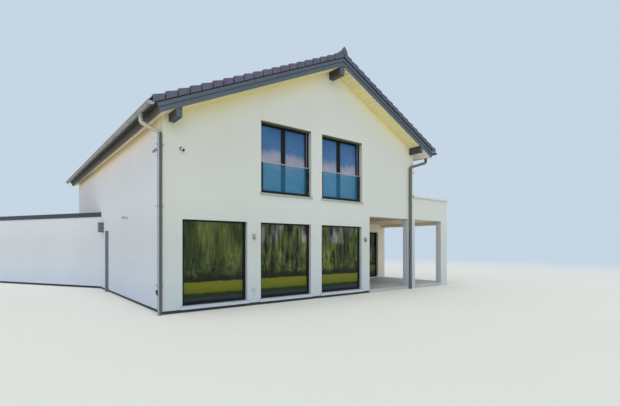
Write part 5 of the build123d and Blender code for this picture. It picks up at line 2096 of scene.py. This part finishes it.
class HOUSE_OT_cameras(Operator):
    """Put the cameras and the sensor on the walls"""
    bl_idname = "house.cameras"
    bl_label = "Cameras"

    def execute(self, context):
        mount, bodies, lenses = bmesh.new(), bmesh.new(), bmesh.new()
        camera_mount(mount, *FRONT_CAMERA[:3])
        camera_body(bodies, *FRONT_CAMERA[2:])
        camera_lens(lenses, *FRONT_CAMERA[2:])
        add_piece("camera_mount", mount, "grey_plastic")
        domes = [mesh_from(bodies), mesh_from(dome_housing()), mesh_from(dome_foot())]
        add_piece("camera_bodies", joined(domes), "white_fitting", ["cameras"])
        add_piece("camera_lenses", lenses, "dark_fitting", finish="black_glass")
        for name, sizes, finish in (("side_camera", SIDE_CAMERA, "taupe_plastic"),
                                    ("side_sensor", SENSOR, "slat_grey")):
            bm = bmesh.new()
            camera_mount(bm, *sizes[:3])
            camera_body(bm, *sizes[2:])
            add_piece(name, bm, "grey_plastic", finish=finish)
        return {"FINISHED"}


class HOUSE_OT_wall_services(Operator):
    """Finish the vent box, the duct and the socket"""
    bl_idname = "house.wall_services"
    bl_label = "Vent, duct and socket"

    def execute(self, context):
        slats = joined([vent_blades(), vent_slats()])
        add_piece("vent_slats", slats, "grey_plastic", finish="slat_grey")
        add_piece("vent_frame", vent_frame(), "grey_plastic")
        add_piece("duct_straps", duct_straps(), "grey_plastic")
        add_piece("duct_screws", duct_screws(), "stainless")
        add_piece("outdoor_socket", outdoor_socket(), "grey_plastic", finish="pale_fitting")
        return {"FINISHED"}


# Stage


FLOOR_REACH = 160.0
FLOOR_DROP = 0.004
FADE_START = 14.0
FADE_END = 40.0
WORLD_COLOUR = (0.86, 0.94, 1.0)
WORLD_STRENGTH = 0.66
# Each lamp: name, energy, spread, tilt and turn in degrees, colour.
LAMPS = (
    ("key_lamp", 0.85, 50.0, 72.0, -15.0, (1.0, 0.97, 0.90)),
    ("side_lamp", 0.55, 60.0, 68.0, -95.0, (0.95, 0.96, 1.0)),
    ("top_lamp", 0.75, 40.0, 14.0, -60.0, (1.0, 0.99, 0.96)),
)


def make_floor(colour, sky):
    """A pale floor that fades into the backdrop far from the house."""
    mesh = bpy.data.meshes.new("stage_floor")
    corners = [(x * FLOOR_REACH, y * FLOOR_REACH, -FLOOR_DROP)
               for x, y in ((-1, -1), (1, -1), (1, 1), (-1, 1))]
    mesh.from_pydata(corners, [], [(0, 1, 2, 3)])
    floor = bpy.data.objects.new("stage_floor", mesh)
    bpy.context.scene.collection.objects.link(floor)
    made = Finish("stage_floor", colour, 0.9)
    made.colour(made.shades(made.noise(0.2, 2.0), 0.01))
    far = made.add("ShaderNodeEmission")
    far.inputs["Color"].default_value = (*sky, 1.0)
    ring = made.add("ShaderNodeVectorMath", operation="LENGTH")
    made.links.new(made.place(), ring.inputs[0])
    fade = made.span(ring.outputs["Value"], "SMOOTHSTEP", from_min=FADE_START, from_max=FADE_END)
    blend = made.add("ShaderNodeMixShader")
    made.links.new(fade, blend.inputs[0])
    made.links.new(made.shader.outputs[0], blend.inputs[1])
    made.links.new(far.outputs[0], blend.inputs[2])
    output = made.nodes["Material Output"]
    made.links.new(blend.outputs[0], output.inputs["Surface"])
    mesh.materials.append(made.material)


def make_world(sky):
    """Soft light from all round, with the plain backdrop seen directly and in reflections."""
    world = bpy.data.worlds.new("studio")
    bpy.context.scene.world = world
    world.use_nodes = True
    nodes, links = world.node_tree.nodes, world.node_tree.links
    light = nodes["Background"]
    light.inputs["Color"].default_value = (*WORLD_COLOUR, 1.0)
    light.inputs["Strength"].default_value = WORLD_STRENGTH
    seen = nodes.new("ShaderNodeBackground")
    seen.inputs["Color"].default_value = (*sky, 1.0)
    path = nodes.new("ShaderNodeLightPath")
    shown = path.outputs["Is Camera Ray"]
    for kind in ("Is Glossy Ray", "Is Transmission Ray"):
        either = nodes.new("ShaderNodeMath")
        either.operation = "MAXIMUM"
        links.new(shown, either.inputs[0])
        links.new(path.outputs[kind], either.inputs[1])
        shown = either.outputs[0]
    blend = nodes.new("ShaderNodeMixShader")
    links.new(shown, blend.inputs[0])
    links.new(light.outputs[0], blend.inputs[1])
    links.new(seen.outputs[0], blend.inputs[2])
    links.new(blend.outputs[0], nodes["World Output"].inputs["Surface"])


def make_lamp(name, energy, angle, tilt, turn, colour):
    """A distant lamp with soft shadows."""
    data = bpy.data.lights.new(name, "SUN")
    data.energy = energy
    data.angle = math.radians(angle)
    data.color = colour
    lamp = bpy.data.objects.new(name, data)
    lamp.rotation_euler = (math.radians(tilt), 0.0, math.radians(turn))
    bpy.context.scene.collection.objects.link(lamp)


def make_camera(stage):
    """The camera at the viewing angle of the photograph."""
    data = bpy.data.cameras.new("photo_view")
    data.sensor_width = 36.0
    data.lens = stage.lens
    data.shift_y = stage.rise
    data.clip_end = 500.0
    camera = bpy.data.objects.new("photo_view", data)
    x, y, z = stage.camera_place
    camera.location = (CORNER.x + x, CORNER.y + y, z)
    camera.rotation_euler = (math.radians(90.0), 0.0, -stage.heading)
    bpy.context.scene.collection.objects.link(camera)
    bpy.context.scene.camera = camera


class HOUSE_OT_stage(Operator):
    """Set up the camera, the pale floor and the soft lamps"""
    bl_idname = "house.stage"
    bl_label = "Stage"

    def execute(self, context):
        stage = context.scene.house_stage
        make_camera(stage)
        make_floor(stage.floor_colour, stage.sky_colour)
        make_world(stage.sky_colour)
        for lamp in LAMPS:
            make_lamp(*lamp)
        context.scene.view_settings.view_transform = "Standard"
        return {"FINISHED"}


class HOUSE_PT_panel(Panel):
    """Lists the steps that dress the house"""
    bl_idname = "HOUSE_PT_panel"
    bl_label = "House"
    bl_space_type = "VIEW_3D"
    bl_region_type = "UI"
    bl_category = "House"

    def draw(self, context):
        for step in OPERATORS:
            self.layout.operator(step.bl_idname)


OPERATORS = (
    HOUSE_OT_stage, HOUSE_OT_finishes, HOUSE_OT_roof_tiles, HOUSE_OT_ridge, HOUSE_OT_roof_edge,
    HOUSE_OT_drainage, HOUSE_OT_windows, HOUSE_OT_terrace_door, HOUSE_OT_terrace,
    HOUSE_OT_lights, HOUSE_OT_cameras, HOUSE_OT_wall_services, HOUSE_OT_ridge_clips,
)
SETTINGS = {
    "house_stage": StageSettings, "house_finish": FinishSettings, "house_roof": RoofSettings,
    "house_drain": DrainSettings, "house_windows": WindowSettings,
}


def register():
    for kind in (*SETTINGS.values(), *OPERATORS, HOUSE_PT_panel):
        bpy.utils.register_class(kind)
    for name, kind in SETTINGS.items():
        setattr(bpy.types.Scene, name, PointerProperty(type=kind))


def unregister():
    for name in SETTINGS:
        delattr(bpy.types.Scene, name)
    for kind in (HOUSE_PT_panel, *reversed(OPERATORS), *SETTINGS.values()):
        bpy.utils.unregister_class(kind)


def main():
    register()
    bpy.ops.house.stage()
    bpy.ops.house.finishes()
    bpy.ops.house.roof_tiles()
    bpy.ops.house.ridge()
    bpy.ops.house.roof_edge()
    bpy.ops.house.drainage()
    bpy.ops.house.windows()
    bpy.ops.house.terrace_door()
    bpy.ops.house.terrace()
    bpy.ops.house.lights()
    bpy.ops.house.cameras()
    bpy.ops.house.wall_services()
    bpy.ops.house.ridge_clips()


if __name__ == "__main__":
    main()
